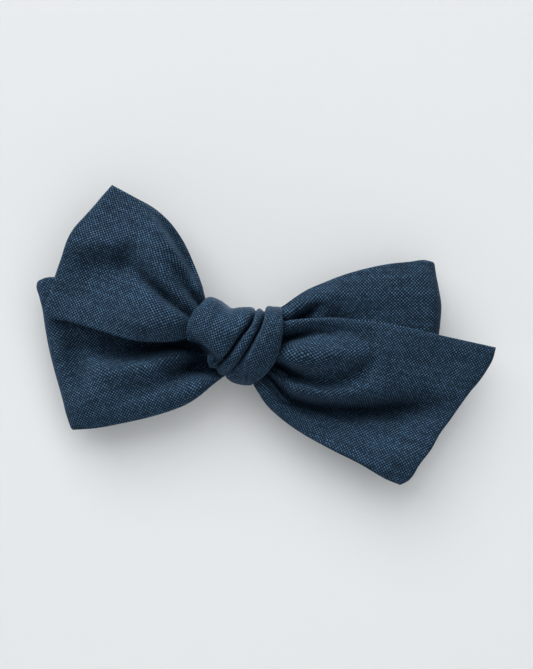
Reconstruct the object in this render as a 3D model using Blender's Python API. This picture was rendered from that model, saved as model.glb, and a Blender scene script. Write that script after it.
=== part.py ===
# Hand-tied fabric hair bow on a sprung alligator clip.
#
# Frame: metres, +Z up as the bow is worn, +X to the right seen from the front,
# the bow's front faces -Y.  The origin is the middle of the clip's head-side
# face, straight behind the middle of the knot.
#
# Sizes below are in millimetres and points are (x, height, z), where height is
# the distance in front of the clip's head-side face, so y = -height.
#
# The sash is a two-ply tube (face cloth and backing cloth) tied into one knot,
# with one loop and one free tail on each side.  A lined steel clip is glued
# behind the knot.

import math

import bmesh
import bpy
import numpy as np
from mathutils import Matrix, Vector

MM = 0.001

# ---- cloth ---------------------------------------------------------------
PLY = 0.45            # thickness of one cloth ply
PLY_GAP = 0.50        # space between the plies, where the turned seam lies
THREAD_R = 0.13       # sewing thread radius
SEAM_INSET = 0.9      # how far the seam thread lies inside a side edge
SEAM_INSET_MAX = 0.45       # the most it may be, as a share of a grid column
SEAM_END_SHARE = 0.35       # inset across a tail's end, as a share of a grid row

OUTWARD = np.linspace(0, 1, 15)         # tail rows, from the knot outwards
ACROSS = np.linspace(0, 1, 10)          # tail and loop columns, top edge to bottom
TURN = np.linspace(0, math.pi, 27)      # loop rows: front, far edge at pi/2, back
FRONT_ROWS = 6                          # first rows, in front on tails and loops alike

# Tails.  top, bottom and end are outlines of (x, z); the end runs from the
# top's last point to the bottom's.  height has rows from the knot outwards
# and columns from the top edge to the bottom.  hinge is where the tail flexes
# in the knot's mouth, as (x, height, z).
TAILS = {
    "tail_left": dict(
        hinge=(-9.2, 19.8, 3.2),
        top=[
            (-6.8, 5.0), (-9.6, 6.0), (-11.4, 12.5), (-13.4, 22.5),
            (-16.8, 29.7), (-20.2, 33.0), (-30.4, 38.9),
        ],
        bottom=[
            (-6.8, 0.4), (-12.5, 0.6), (-19.0, -0.1),
            (-28.5, 1.0), (-38.0, 3.8), (-46.6, 6.3),
        ],
        end=[(-30.4, 38.9), (-37.5, 30.8), (-41.9, 25.0), (-45.0, 15.8), (-46.6, 6.3)],
        height=[
            [19.2, 19.2, 19.2, 19.2, 19.2],
            [19.4, 20.4, 22.2, 22.4, 21.0],
            [19.4, 22.2, 24.0, 23.6, 21.6],
            [18.4, 21.8, 23.2, 22.6, 21.4],
            [16.4, 19.4, 21.0, 20.6, 19.6],
            [15.0, 17.0, 17.6, 17.6, 17.2],
        ],
    ),
    "tail_right": dict(
        hinge=(8.6, 19.8, -1.0),
        top=[
            (6.8, 4.6), (12.6, 4.9), (21.5, 5.8), (31.5, 5.2),
            (41.5, 3.7), (51.5, 1.5), (65.2, -1.6),
        ],
        bottom=[
            (6.8, -4.8), (9.8, -5.8), (12.2, -12.5), (15.5, -21.0),
            (24.0, -27.0), (31.5, -30.8), (41.6, -35.7),
        ],
        end=[(65.2, -1.6), (61.5, -9.8), (54.0, -19.8), (48.8, -27.4), (41.6, -35.7)],
        height=[
            [19.2, 19.2, 19.2, 19.2, 19.0],
            [20.6, 22.4, 22.4, 20.8, 19.2],
            [21.2, 24.2, 23.8, 19.6, 19.4],
            [20.8, 23.4, 23.0, 19.0, 19.2],
            [19.2, 21.0, 21.0, 18.6, 18.2],
            [17.0, 17.8, 18.2, 17.6, 16.6],
        ],
    ),
}

# Loops: outlines of (x, z), laid out as for the tails.
LOOPS = {
    "loop_left": dict(
        top=[(-6.8, 2.6), (-13.0, 5.0), (-24.0, 10.4), (-36.0, 14.0), (-47.6, 15.4)],
        bottom=[
            (-6.8, -4.6), (-11.0, -8.0), (-14.0, -14.6),
            (-21.0, -19.0), (-30.0, -21.0), (-40.4, -21.9),
        ],
        end=[
            (-47.6, 15.4), (-47.7, 9.8), (-46.5, 2.8),
            (-45.6, -2.6), (-43.0, -12.8), (-40.4, -21.9),
        ],
    ),
    "loop_right": dict(
        top=[
            (6.8, 4.2), (12.6, 5.6), (16.5, 10.8),
            (22.5, 14.5), (33.5, 18.2), (49.2, 19.8),
        ],
        bottom=[(6.8, -3.4), (14.0, -6.0), (24.0, -10.6), (36.0, -14.0), (46.6, -15.4)],
        end=[
            (49.2, 19.8), (50.3, 14.5), (51.0, 8.8),
            (50.4, 1.6), (48.6, -7.6), (46.6, -15.4),
        ],
    ),
}
# At even steps from the knot outwards: the height midway between a loop's
# front and back leaves, and how far each leaf lies from it.
LOOP_MIDDLE = [15.0, 14.8, 14.2, 13.5, 13.0]
LOOP_HALF_GAP = [1.2, 2.3, 4.4, 5.2, 5.2]

# ---- knot ----------------------------------------------------------------
KNOT_H = 17.5         # height of the knot's middle
WRAP_T = 1.6          # wall of the folded wrap
WRAP_Z = 10.3         # outer half height of the wrap along z
WRAP_FRONT = 9.0      # outer reach of the wrap towards the front
WRAP_BACK = 8.4       # and towards the clip
WRAP_POWER = 2.5      # squareness of the wrap's section
WRAP_NARROWING = 0.10                           # share lost at the wrap's two ends
WRAP_TURN = np.linspace(0, 2 * math.pi, 37)[:-1]      # 0 front, then top, back, bottom
WRAP_COLUMNS = np.linspace(0, 1, 7)
# x of the wrap's ends at eighths of a turn: front, front-top, top, back-top,
# back, back-bottom, bottom, front-bottom.
WRAP_LEFT = [-12.3, -10.2, -6.6, -7.0, -8.2, -6.5, -3.8, -8.6]
WRAP_RIGHT = [12.3, 12.4, 12.2, 11.0, 9.5, 9.2, 8.8, 10.8]

WAIST_HALF = 6.0      # half length of the gathered waist inside the wrap
WAIST_FRONT, WAIST_BACK, WAIST_Z = 6.2, 5.8, 7.6
WAIST_POWER = 2.2
WAIST_NARROWING = 0.16
WAIST_TURN = np.linspace(0, 2 * math.pi, 21)[:-1]
WAIST_RINGS = 7

# ---- clip ----------------------------------------------------------------
# The top arm is the one glued to the knot; the bottom arm lies at the head.
SHEET = 0.8                       # steel sheet
PIVOT_X, PIVOT_H = 12.0, 3.6
PIVOT = (PIVOT_X, PIVOT_H, 0)
TIP_X, TAB_X = -28.0, 30.0        # jaw tips and finger ends
TOP_H = 6.8                       # mid height of the top arm where it is flat
TOP_FLAT_FROM, TOP_TIP_DROP = -10.0, 2.5
BOTTOM_FLAT_FROM, BOTTOM_TIP_RISE = -14.0, 1.4
BEND_X = 14.7                     # where the bottom arm's finger tab turns away
TAB_ANGLE = math.radians(25)
HALF_TIP, HALF_ARM = 3.0, 4.7     # half widths at the tip and along the arm
WIDENING = 26.0                   # length over which the jaw widens
FLARE, FLARE_FROM, FLARE_LENGTH = 0.5, 18, 6          # extra half width of the tabs
ROUND_LENGTH, ROUND_RADIUS = 4.0, 4.6                 # the rounded finger end
ARM_ACROSS = (-1.0, -0.5, 0.0, 0.5, 1.0)

# x of the arms' stations
TOP_STATIONS = [
    TIP_X, -27, -25.5, -23.5, -21.5, -19.5, -17.5, -15.5, -13, -10, -4, 3, 8,
    12, 16, 18, 20, 22, 24, 26, 27, 28, 28.8, 29.4, 29.8, TAB_X,
]
BOTTOM_STATIONS = [
    TIP_X, -26.5, -24.5, -22.5, -20.5, -18.5, -16.5, -14, -9, 0.0, 8,
    12, BEND_X, 17, 19.5, 22, 24, 26, 27, 28, 28.8, 29.4, 29.8, TAB_X,
]

EAR_BASE_HALF = 2.6               # half width of an ear where it meets the arm
EAR_R = 2.2                       # its round end about the pivot
EAR_SHOULDER = 0.4                # straight part between taper and round end
TOOTH_ROOT = 0.3                  # how far a tooth starts inside its arm

PIN_R, PIN_HEAD_R = 0.8, 1.4
PIN_SEGMENTS = 28
PIN_HOLE_HALF = 6                 # half length of the hole cutters
PIN_HEAD_Z = 4.85                 # underside of the rivet heads
PIN_POLE_Z = 5.55                 # top of their domes

COIL_R, WIRE_R, COIL_TURNS = 1.75, 0.35, 3.5
COIL_HALF = 1.6                   # half length of the coil along z
COIL_STEPS_PER_TURN = 16
TOP_LEG_CLEARANCE, TAB_LEG_CLEARANCE = 0.06, 0.08

RIBBON_T, RIBBON_HALF, GLUE_LINE = 0.45, 4.8, 0.1
RIBBON_STATIONS = [
    TIP_X + 0.4, -26, -24, -22, -20, -18, -16, -14, -12, -10, -4, 4, 12, 20, 26, TAB_X,
]
RIBBON_RETURN = (TAB_X, 27.5, 25.0)     # x of the stations back inside the arm
RIBBON_ROUND_STEPS = 8


# ---- materials -----------------------------------------------------------
def material(name, colour, roughness, metallic=0.0):
    mat = bpy.data.materials.new(name)
    mat.use_nodes = True
    shader = mat.node_tree.nodes["Principled BSDF"]
    shader.inputs["Base Color"].default_value = (*colour, 1.0)
    shader.inputs["Roughness"].default_value = roughness
    shader.inputs["Metallic"].default_value = metallic
    mat.diffuse_color = (*colour, 1.0)
    return mat


for old in list(bpy.data.objects):
    bpy.data.objects.remove(old, do_unlink=True)

CHAMBRAY = material("navy_chambray", colour=(0.019, 0.040, 0.072), roughness=0.92)
BACKING = material("navy_chambray_backing", colour=(0.017, 0.036, 0.066), roughness=0.92)
THREAD = material("navy_thread", colour=(0.030, 0.055, 0.095), roughness=0.7)
STEEL = material(
    "nickel_plated_steel", colour=(0.62, 0.62, 0.60), roughness=0.28, metallic=1.0
)
SPRING_STEEL = material(
    "spring_wire", colour=(0.50, 0.50, 0.49), roughness=0.30, metallic=1.0
)
GROSGRAIN = material("navy_grosgrain", colour=(0.016, 0.028, 0.060), roughness=0.8)
RUBBER = material("clear_grip_rubber", colour=(0.42, 0.43, 0.44), roughness=0.55)
ADHESIVE = material("hot_melt_adhesive", colour=(0.72, 0.68, 0.58), roughness=0.35)


# ---- solids --------------------------------------------------------------
def add_object(name, verts, faces, mat, smooth=True):
    """One object from (x, height, z) points in millimetres and faces."""
    mesh = bpy.data.meshes.new(name)
    mesh.from_pydata([(x * MM, -height * MM, z * MM) for x, height, z in verts], [], faces)
    bm = bmesh.new()
    bm.from_mesh(mesh)
    bmesh.ops.remove_doubles(bm, verts=bm.verts, dist=1e-7)
    bmesh.ops.recalc_face_normals(bm, faces=bm.faces)
    if bm.calc_volume(signed=True) < 0:
        bmesh.ops.reverse_faces(bm, faces=bm.faces)
    bm.to_mesh(mesh)
    bm.free()
    if smooth:
        mesh.shade_smooth()
        mesh.set_sharp_from_angle(angle=math.radians(40))
    obj = bpy.data.objects.new(name, mesh)
    obj.data.materials.append(mat)
    bpy.context.scene.collection.objects.link(obj)
    return obj


def set_origin(obj, point):
    """Moves an object's origin to a point, its geometry staying where it is."""
    x, height, z = point
    at = Vector((x * MM, -height * MM, z * MM))
    obj.data.transform(Matrix.Translation(-at))
    obj.location = at


def sheet(name, low, high, mat, closed=False):
    """A closed solid between two grids; closed joins the last row to the first."""
    rows, cols = low.shape[:2]
    verts = np.concatenate([low.reshape(-1, 3), high.reshape(-1, 3)])

    def at(i, j, layer):
        return layer * rows * cols + (i % rows) * cols + j

    last = cols - 1
    faces = []
    for i in range(rows if closed else rows - 1):
        for j in range(last):
            faces.append((at(i, j, 0), at(i, j + 1, 0), at(i + 1, j + 1, 0), at(i + 1, j, 0)))
            faces.append((at(i, j, 1), at(i + 1, j, 1), at(i + 1, j + 1, 1), at(i, j + 1, 1)))
        faces.append((at(i, 0, 0), at(i + 1, 0, 0), at(i + 1, 0, 1), at(i, 0, 1)))
        faces.append((at(i, last, 0), at(i, last, 1), at(i + 1, last, 1), at(i + 1, last, 0)))
    if not closed:
        i = rows - 1
        for j in range(last):
            faces.append((at(0, j, 0), at(0, j, 1), at(0, j + 1, 1), at(0, j + 1, 0)))
            faces.append((at(i, j, 0), at(i, j + 1, 0), at(i, j + 1, 1), at(i, j, 1)))
    return add_object(name, verts, faces, mat)


def ring_quads(count, around):
    """Quads joining each ring of points to the next."""
    return [
        (
            i * around + j,
            i * around + (j + 1) % around,
            (i + 1) * around + (j + 1) % around,
            (i + 1) * around + j,
        )
        for i in range(count - 1)
        for j in range(around)
    ]


def stack(name, rings, mat, smooth=True):
    """A solid through a list of equal rings, with a flat cap at each end."""
    count, around = len(rings), len(rings[0])
    verts = [point for ring in rings for point in ring]
    caps = [tuple(range(around)), tuple(range(count * around - 1, (count - 1) * around - 1, -1))]
    return add_object(name, verts, caps + ring_quads(count, around), mat, smooth)


def tube(name, path, radius, mat, sides):
    """A round wire or thread swept along a path."""
    path = np.asarray(path, float)
    tangents = np.gradient(path, axis=0)
    tangents /= np.linalg.norm(tangents, axis=1, keepdims=True)
    side = np.cross(tangents[0], (0, 0, 1.0))
    rings = []
    for point, tangent in zip(path, tangents):
        # Carry the last ring's side direction along, so the tube doesn't twist.
        side = side - tangent * (side @ tangent)
        side /= np.linalg.norm(side)
        up = np.cross(tangent, side)
        angles = [2 * math.pi * k / sides for k in range(sides)]
        rings.append([point + radius * (math.cos(a) * side + math.sin(a) * up) for a in angles])
    return stack(name, rings, mat)


def prism(name, outline, z0, z1):
    """A steel outline in (x, height), extruded from z0 to z1."""
    rings = [[(x, height, z) for x, height in outline] for z in (z0, z1)]
    return stack(name, rings, STEEL, smooth=False)


# ---- curves and grids ----------------------------------------------------
def hermite(knots, values, at):
    """Smooth cubic interpolation of rows of values, with one-sided end tangents."""
    spans = np.diff(knots)[:, None]
    slopes = np.diff(values, axis=0) / spans
    tangents = np.empty_like(values)
    tangents[0], tangents[-1] = slopes[0], slopes[-1]
    before, after = spans[:-1], spans[1:]
    tangents[1:-1] = (slopes[:-1] * after + slopes[1:] * before) / (after + before)
    i = np.clip(np.searchsorted(knots, at, side="right") - 1, 0, len(knots) - 2)
    span = spans[i]
    s = (at - knots[i])[:, None] / span
    return (
        values[i] * (1 + 2 * s) * (1 - s) ** 2
        + tangents[i] * span * s * (1 - s) ** 2
        + values[i + 1] * s * s * (3 - 2 * s)
        + tangents[i + 1] * span * s * s * (s - 1)
    )


def curve(points, shares):
    """A smooth curve through the points, at shares of its chord length."""
    points = np.asarray(points, float)
    steps = np.linalg.norm(np.diff(points, axis=0), axis=1)
    knots = np.concatenate([[0], np.cumsum(steps)])
    return hermite(knots / knots[-1], points, shares)


def even(values, shares):
    """Interpolation of evenly spaced rows of values."""
    values = np.asarray(values, float)
    return hermite(np.linspace(0, 1, len(values)), values, shares)


def outline_grid(wing, outward):
    """x and z of a wing: between its top and bottom edges, out to its end."""
    top, bottom = curve(wing["top"], outward), curve(wing["bottom"], outward)
    across = ACROSS[:, None]
    straight = top[:, None] * (1 - across) + bottom[:, None] * across
    chord = np.array(wing["top"][-1]) * (1 - across) + np.array(wing["bottom"][-1]) * across
    bulge = curve(wing["end"], ACROSS) - chord
    return straight + outward[:, None, None] ** 2 * bulge


def normals(grid):
    normal = np.cross(np.gradient(grid, axis=0), np.gradient(grid, axis=1))
    return normal / np.linalg.norm(normal, axis=2, keepdims=True)


def wing_grid(wing, outward, height):
    """A wing's middle surface, its columns ordered so the first rows face the front."""
    flat = outline_grid(wing, outward)
    grid = np.stack([flat[..., 0], height, flat[..., 1]], axis=2)
    faces_front = normals(grid)[:FRONT_ROWS, :, 1].mean() > 0
    return grid if faces_front else grid[:, ::-1]


# ---- tails and loops -----------------------------------------------------
def two_plies(stem, grid):
    """Face cloth and backing cloth on either side of a middle surface."""
    normal = normals(grid)
    near, far = PLY_GAP / 2, PLY_GAP / 2 + PLY
    return [
        sheet(stem + "_face_cloth", grid + normal * near, grid + normal * far, CHAMBRAY),
        sheet(stem + "_backing_cloth", grid - normal * far, grid - normal * near, BACKING),
    ]


def seam_line(grid, edge, neighbour):
    """An edge column of the middle surface moved in towards its neighbour."""
    step = grid[:, neighbour] - grid[:, edge]
    length = np.linalg.norm(step, axis=1, keepdims=True)
    return grid[:, edge] + step / length * np.minimum(SEAM_INSET, SEAM_INSET_MAX * length)


def seam_thread(stem, path):
    return tube(stem + "_seam_thread", path, THREAD_R, THREAD, sides=6)


def build_tail(stem, tail):
    across = even(np.transpose(tail["height"]), ACROSS).T
    grid = wing_grid(tail, OUTWARD, even(across, OUTWARD))
    # One thread runs out along one edge, across the end and back along the other.
    outbound, inbound = seam_line(grid, 0, 1), seam_line(grid, -1, -2)
    end = grid[-1] + (grid[-2] - grid[-1]) * SEAM_END_SHARE
    path = np.concatenate([outbound[1:-1], end[1:-1], inbound[1:-1][::-1]])
    for piece in two_plies(stem, grid) + [seam_thread(stem, path)]:
        set_origin(piece, tail["hinge"])


def build_loop(stem, loop):
    """The sash leaves the knot in front, turns at the far edge and returns behind."""
    outward = np.sin(TURN)
    leaves = np.transpose([LOOP_MIDDLE, LOOP_HALF_GAP])
    middle, half_gap = even(leaves, outward).T
    height = middle + half_gap * np.cos(TURN)
    grid = wing_grid(loop, outward, np.repeat(height[:, None], len(ACROSS), axis=1))
    two_plies(stem, grid)
    # The thread follows the lower edge only.
    lower_is_last = grid[0, -1, 2] < grid[0, 0, 2]
    lower = seam_line(grid, -1, -2) if lower_is_last else seam_line(grid, 0, 1)
    seam_thread(stem, lower[1:-1])


# ---- knot ----------------------------------------------------------------
def round_table(values, turn):
    """Smooth periodic interpolation of eight values round a full turn."""
    values = np.array(values)
    # Two extra eighths lead in and out, so the curve is smooth where it closes.
    padded = np.concatenate([values[-2:], values, values[:3]])[:, None]
    knots = np.linspace(-0.25, 1.25, len(padded))
    return hermite(knots, padded, turn / (2 * math.pi))[:, 0]


def knot_ring(x, turn, front, back, half_z, power):
    """A superelliptic ring about the knot's middle, deeper in front than behind."""
    cosine, sine = np.cos(turn), np.sin(turn)
    radius = (np.abs(cosine) ** power + np.abs(sine) ** power) ** (-1 / power)
    forward = cosine * radius * np.where(cosine > 0, front, back)
    return np.stack([x, KNOT_H + forward, sine * radius * half_z], axis=1)


def wrap_surface(depth):
    """The wrap's surface at a depth below its outside."""
    left, right = round_table(WRAP_LEFT, WRAP_TURN), round_table(WRAP_RIGHT, WRAP_TURN)
    columns = []
    for share in WRAP_COLUMNS:
        barrel = 1 - WRAP_NARROWING * abs(2 * share - 1) ** 3
        columns.append(knot_ring(
            left * (1 - share) + right * share, WRAP_TURN,
            front=WRAP_FRONT * barrel - depth, back=WRAP_BACK - depth,
            half_z=WRAP_Z * barrel - depth, power=WRAP_POWER,
        ))
    return np.stack(columns, axis=1)


def build_waist():
    """The gathered sash inside the wrap, a barrel along X."""
    rings = []
    for share in np.linspace(-1, 1, WAIST_RINGS):
        pinch = 1 - WAIST_NARROWING * share * share
        rings.append(knot_ring(
            np.full(len(WAIST_TURN), share * WAIST_HALF), WAIST_TURN,
            front=WAIST_FRONT * pinch, back=WAIST_BACK * pinch,
            half_z=WAIST_Z * pinch, power=WAIST_POWER,
        ))
    stack("knot_gathered_waist", rings, CHAMBRAY)


# ---- clip arms -----------------------------------------------------------
def ease(share):
    share = min(max(share, 0.0), 1.0)
    return share * share * (3 - 2 * share)


def top_mid(x):
    return TOP_H - TOP_TIP_DROP * ease((TOP_FLAT_FROM - x) / (TOP_FLAT_FROM - TIP_X))


def bottom_mid(x):
    if x > BEND_X:
        return SHEET / 2 - math.tan(TAB_ANGLE) * (x - BEND_X)
    rise = ease((BOTTOM_FLAT_FROM - x) / (BOTTOM_FLAT_FROM - TIP_X))
    return SHEET / 2 + BOTTOM_TIP_RISE * rise


def slope_normal(slope):
    return np.array([-slope, 1.0]) / math.hypot(slope, 1.0)


def mid_normal(mid, x):
    return slope_normal((mid(x + 0.01) - mid(x - 0.01)) / 0.02)


def arm_half_width(x):
    to_end = TAB_X - x
    if to_end < ROUND_LENGTH:
        inward = (ROUND_LENGTH - to_end) / ROUND_RADIUS
        return (HALF_ARM + FLARE) * math.sqrt(1 - inward ** 2)
    if x > FLARE_FROM:
        return HALF_ARM + FLARE * ease((x - FLARE_FROM) / FLARE_LENGTH)
    return HALF_TIP + (HALF_ARM - HALF_TIP) * ease((x - TIP_X) / WIDENING)


def strip(name, stations, across, mat):
    """A strip about stations of (x, height, normal, half thickness, half width)."""
    low, high = (
        np.array([
            [(x + n[0] * side * thick, height + n[1] * side * thick, share * half)
             for share in across]
            for x, height, n, thick, half in stations
        ])
        for side in (-1, 1)
    )
    return sheet(name, low, high, mat)


def arm_strip(name, xs, mid):
    """A stamped steel strip with a rounded finger end and a tapering jaw."""
    stations = []
    for x in xs:
        normal, thick = mid_normal(mid, x), SHEET / 2
        if x == BEND_X:      # a mitre; only the bottom arm has this station
            normal = slope_normal(-math.tan(TAB_ANGLE / 2))
            thick = SHEET / 2 / math.cos(TAB_ANGLE / 2)
        stations.append((x, mid(x), normal, thick, arm_half_width(x)))
    return strip(name, stations, ARM_ACROSS, STEEL)


def ear_outline(base, facing):
    """From an arm at height base, narrowing to a round end about the pivot."""
    shoulder = PIVOT_H - facing * EAR_SHOULDER
    points = [(PIVOT_X - EAR_BASE_HALF, base), (PIVOT_X - EAR_R, shoulder)]
    for k in range(13):
        angle = math.pi - math.pi * k / 12
        points.append(
            (PIVOT_X + EAR_R * math.cos(angle), PIVOT_H + facing * EAR_R * math.sin(angle))
        )
    return points + [(PIVOT_X + EAR_R, shoulder), (PIVOT_X + EAR_BASE_HALF, base)]


def tooth_outline(tip, facing, short, long):
    return [
        (TIP_X + 0.02, tip - facing * TOOTH_ROOT),
        (TIP_X + 0.9, tip - facing * TOOTH_ROOT),
        (TIP_X + 0.75, tip + facing * short),
        (TIP_X + 0.25, tip + facing * long),
    ]


def pivot_circle(radius):
    """(x, height) points about the pivot."""
    angles = [2 * math.pi * k / PIN_SEGMENTS for k in range(PIN_SEGMENTS)]
    return [(PIVOT_X + radius * math.cos(a), PIVOT_H + radius * math.sin(a)) for a in angles]


def combine(obj, other, how):
    mod = obj.modifiers.new(how.lower() + "_" + other.name, "BOOLEAN")
    mod.operation = how
    mod.object = other
    mod.solver = "EXACT"
    other.hide_render = True
    other.display_type = "WIRE"


def build_arm(stem, xs, mid, facing, ear_z, teeth_z, tooth_half, tooth_reach, hole_clearance):
    """An arm with ears, teeth and pin hole; facing is +1 if they point to the front."""
    arm = arm_strip(f"clip_{stem}_arm", xs, mid)
    for side in (-1, 1):
        z0, z1 = sorted(side * z for z in ear_z)
        ear = prism(f"{stem}_ear_{side}", ear_outline(mid(PIVOT_X), facing), z0, z1)
        combine(arm, ear, "UNION")
    outline = tooth_outline(mid(TIP_X), facing, *tooth_reach)
    for k, z in enumerate(teeth_z):
        tooth = prism(f"{stem}_tooth_{k}", outline, z - tooth_half, z + tooth_half)
        combine(arm, tooth, "UNION")
    circle = pivot_circle(PIN_R + hole_clearance)
    combine(arm, prism(f"{stem}_pin_hole", circle, -PIN_HOLE_HALF, PIN_HOLE_HALF), "DIFFERENCE")
    set_origin(arm, PIVOT)


# ---- clip fittings -------------------------------------------------------
def build_pin():
    """Rivet pin: a shaft along z with a domed head at each end."""
    # (radius, z) from just inside the low pole to the shaft, then mirrored
    profile = [(0.7, -5.5), (1.15, -5.3), (PIN_HEAD_R, -PIN_HEAD_Z), (PIN_R, -PIN_HEAD_Z)]
    profile += [(radius, -z) for radius, z in reversed(profile)]
    verts = [(x, height, z) for radius, z in profile for x, height in pivot_circle(radius)]
    low_pole, high_pole = len(verts), len(verts) + 1
    last_ring = len(verts) - PIN_SEGMENTS
    verts += [(PIVOT_X, PIVOT_H, -PIN_POLE_Z), (PIVOT_X, PIVOT_H, PIN_POLE_Z)]
    faces = ring_quads(len(profile), PIN_SEGMENTS)
    for k in range(PIN_SEGMENTS):
        following = (k + 1) % PIN_SEGMENTS
        faces.append((low_pole, following, k))
        faces.append((last_ring + k, last_ring + following, high_pole))
    set_origin(add_object("clip_pivot_pin", verts, faces, STEEL), PIVOT)


def build_spring():
    """One leg under the top arm, the coil round the pin, one leg on the finger tab."""
    leg = TOP_H - SHEET / 2 - WIRE_R - TOP_LEG_CLEARANCE
    path = [(x, leg - drop, -COIL_HALF) for x, drop in ((22.0, 0), (18.5, 0.23), (15.0, 0.46))]
    steps = int(COIL_TURNS * COIL_STEPS_PER_TURN)
    for k in range(steps + 1):
        share = k / steps
        angle = math.pi / 2 + 2 * math.pi * COIL_TURNS * share
        path.append((
            PIVOT_X + COIL_R * math.cos(angle),
            PIVOT_H + COIL_R * math.sin(angle),
            COIL_HALF * (2 * share - 1),
        ))
    offset = WIRE_R + TAB_LEG_CLEARANCE
    bend_x = BEND_X + math.sin(TAB_ANGLE) * offset
    bend_h = SHEET + math.cos(TAB_ANGLE) * offset
    fall = math.tan(TAB_ANGLE)
    # (distance along x, rise) from the bend
    for along, rise in ((-0.9, 0.16), (0.2, -0.07), (3.6, -3.6 * fall), (7.2, -7.2 * fall)):
        path.append((bend_x + along, bend_h + rise, COIL_HALF))
    set_origin(tube("clip_torsion_spring", path, WIRE_R, SPRING_STEEL, sides=8), PIVOT)


def build_ribbon():
    """Along the top arm's front face, round its finger end and a little way back."""
    gap = SHEET / 2 + GLUE_LINE + RIBBON_T / 2
    line = [(x, top_mid(x), mid_normal(top_mid, x)) for x in RIBBON_STATIONS]
    for k in range(1, RIBBON_ROUND_STEPS):
        angle = math.pi / 2 - math.pi * k / RIBBON_ROUND_STEPS
        line.append((TAB_X, TOP_H, (math.cos(angle), math.sin(angle))))
    line += [(x, TOP_H, (0.0, -1.0)) for x in RIBBON_RETURN]
    stations = [
        (x + n[0] * gap, height + n[1] * gap, n, RIBBON_T / 2, RIBBON_HALF)
        for x, height, n in line
    ]
    strip("clip_ribbon_lining", stations, (-1, 0, 1), GROSGRAIN)


def rounded_slab(name, x0, x1, half_z, low, high, corner, soften, mat):
    """A pad with rounded corners, its edges eased on the front side."""
    corners = (
        (x1 - corner, half_z - corner), (x0 + corner, half_z - corner),
        (x0 + corner, corner - half_z), (x1 - corner, corner - half_z),
    )
    rings = []
    for height, radius in ((low, corner), (high - soften, corner), (high, corner - soften)):
        ring = []
        for quarter, (x, z) in enumerate(corners):
            for k in range(7):
                angle = math.pi / 2 * (quarter + k / 6)
                ring.append((x + radius * math.cos(angle), height, z + radius * math.sin(angle)))
        rings.append(ring)
    return stack(name, rings, mat)


# ---- assembly ------------------------------------------------------------
for wing_name, shape in TAILS.items():
    build_tail(wing_name, shape)
for wing_name, shape in LOOPS.items():
    build_loop(wing_name, shape)

sheet("knot_wrap", wrap_surface(WRAP_T), wrap_surface(0.0), CHAMBRAY, closed=True)
build_waist()

build_arm(
    "top", TOP_STATIONS, top_mid, facing=-1, ear_z=(3.9, 4.7), teeth_z=(-2.2, 0.0, 2.2),
    tooth_half=0.45, tooth_reach=(1.4, 1.8), hole_clearance=0.08,
)
build_arm(
    "bottom", BOTTOM_STATIONS, bottom_mid, facing=1, ear_z=(2.7, 3.5), teeth_z=(-1.1, 1.1),
    tooth_half=0.4, tooth_reach=(1.3, 1.7), hole_clearance=0.10,
)
build_pin()
build_spring()
build_ribbon()

grip = rounded_slab(
    "clip_grip_pad", x0=-12.0, x1=6.0, half_z=2.4, low=SHEET + 0.08, high=SHEET + 0.78,
    corner=1.0, soften=0.2, mat=RUBBER,
)
set_origin(grip, PIVOT)
rounded_slab(
    "glue_bead", x0=-7.0, x1=8.0, half_z=3.9,
    low=TOP_H + SHEET / 2 + GLUE_LINE + RIBBON_T + 0.1, high=KNOT_H - WRAP_BACK - 0.12,
    corner=2.4, soften=0.25, mat=ADHESIVE,
)
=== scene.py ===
"""The looks of a hand-tied chambray hair bow on a sprung alligator clip.

The clip's CAD parts keep their shapes and get metal, ribbon, rubber and glue finishes.  The
sash's plain CAD solids are replaced with cloth: each loop and tail is a turned, two-ply tube
with soft edges, gathered into the knot, and the knot is a pleated band with open mouths.

Shapes are written as they are seen from the front, in millimetres: x to the right, z up, and
h, the height in front of the clip's head-side face.  The front is world -y, so a point at
height h has y = -h.  place() puts such a point where the camera sees it.
"""

import math
from functools import partialmethod

import bmesh
import bpy
import numpy as np
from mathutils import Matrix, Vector


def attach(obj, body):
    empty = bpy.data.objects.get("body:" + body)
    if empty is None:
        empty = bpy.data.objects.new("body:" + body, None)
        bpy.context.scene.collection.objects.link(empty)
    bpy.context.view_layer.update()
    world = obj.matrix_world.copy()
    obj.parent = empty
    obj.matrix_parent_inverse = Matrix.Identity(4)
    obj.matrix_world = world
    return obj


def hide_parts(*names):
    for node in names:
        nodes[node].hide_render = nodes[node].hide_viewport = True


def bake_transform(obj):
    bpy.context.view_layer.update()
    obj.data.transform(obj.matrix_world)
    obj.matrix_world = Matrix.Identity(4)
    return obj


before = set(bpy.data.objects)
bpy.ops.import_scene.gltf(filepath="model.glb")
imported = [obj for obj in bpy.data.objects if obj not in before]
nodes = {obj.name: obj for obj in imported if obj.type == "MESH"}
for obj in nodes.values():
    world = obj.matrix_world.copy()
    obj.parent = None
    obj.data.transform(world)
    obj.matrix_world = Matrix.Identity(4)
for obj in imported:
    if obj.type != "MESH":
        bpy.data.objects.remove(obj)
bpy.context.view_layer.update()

MM = 0.001

# ---- the view, in millimetres --------------------------------------------
VIEW_DISTANCE = 420.0
VIEW_ELEVATION = math.radians(-4.5)     # the camera is below the bow and looks slightly up
VIEW_MIDDLE = np.array([8.125, -18.0, 1.625])
VIEW_SPAN = 167.25                      # seen along the image's longer side, at the middle
FORWARD = np.array([0.0, math.cos(VIEW_ELEVATION), -math.sin(VIEW_ELEVATION)])
VIEW_UP = np.array([0.0, math.sin(VIEW_ELEVATION), math.cos(VIEW_ELEVATION)])
VIEW_RIGHT = np.array([1.0, 0.0, 0.0])
EYE = VIEW_MIDDLE - VIEW_DISTANCE * FORWARD


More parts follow.
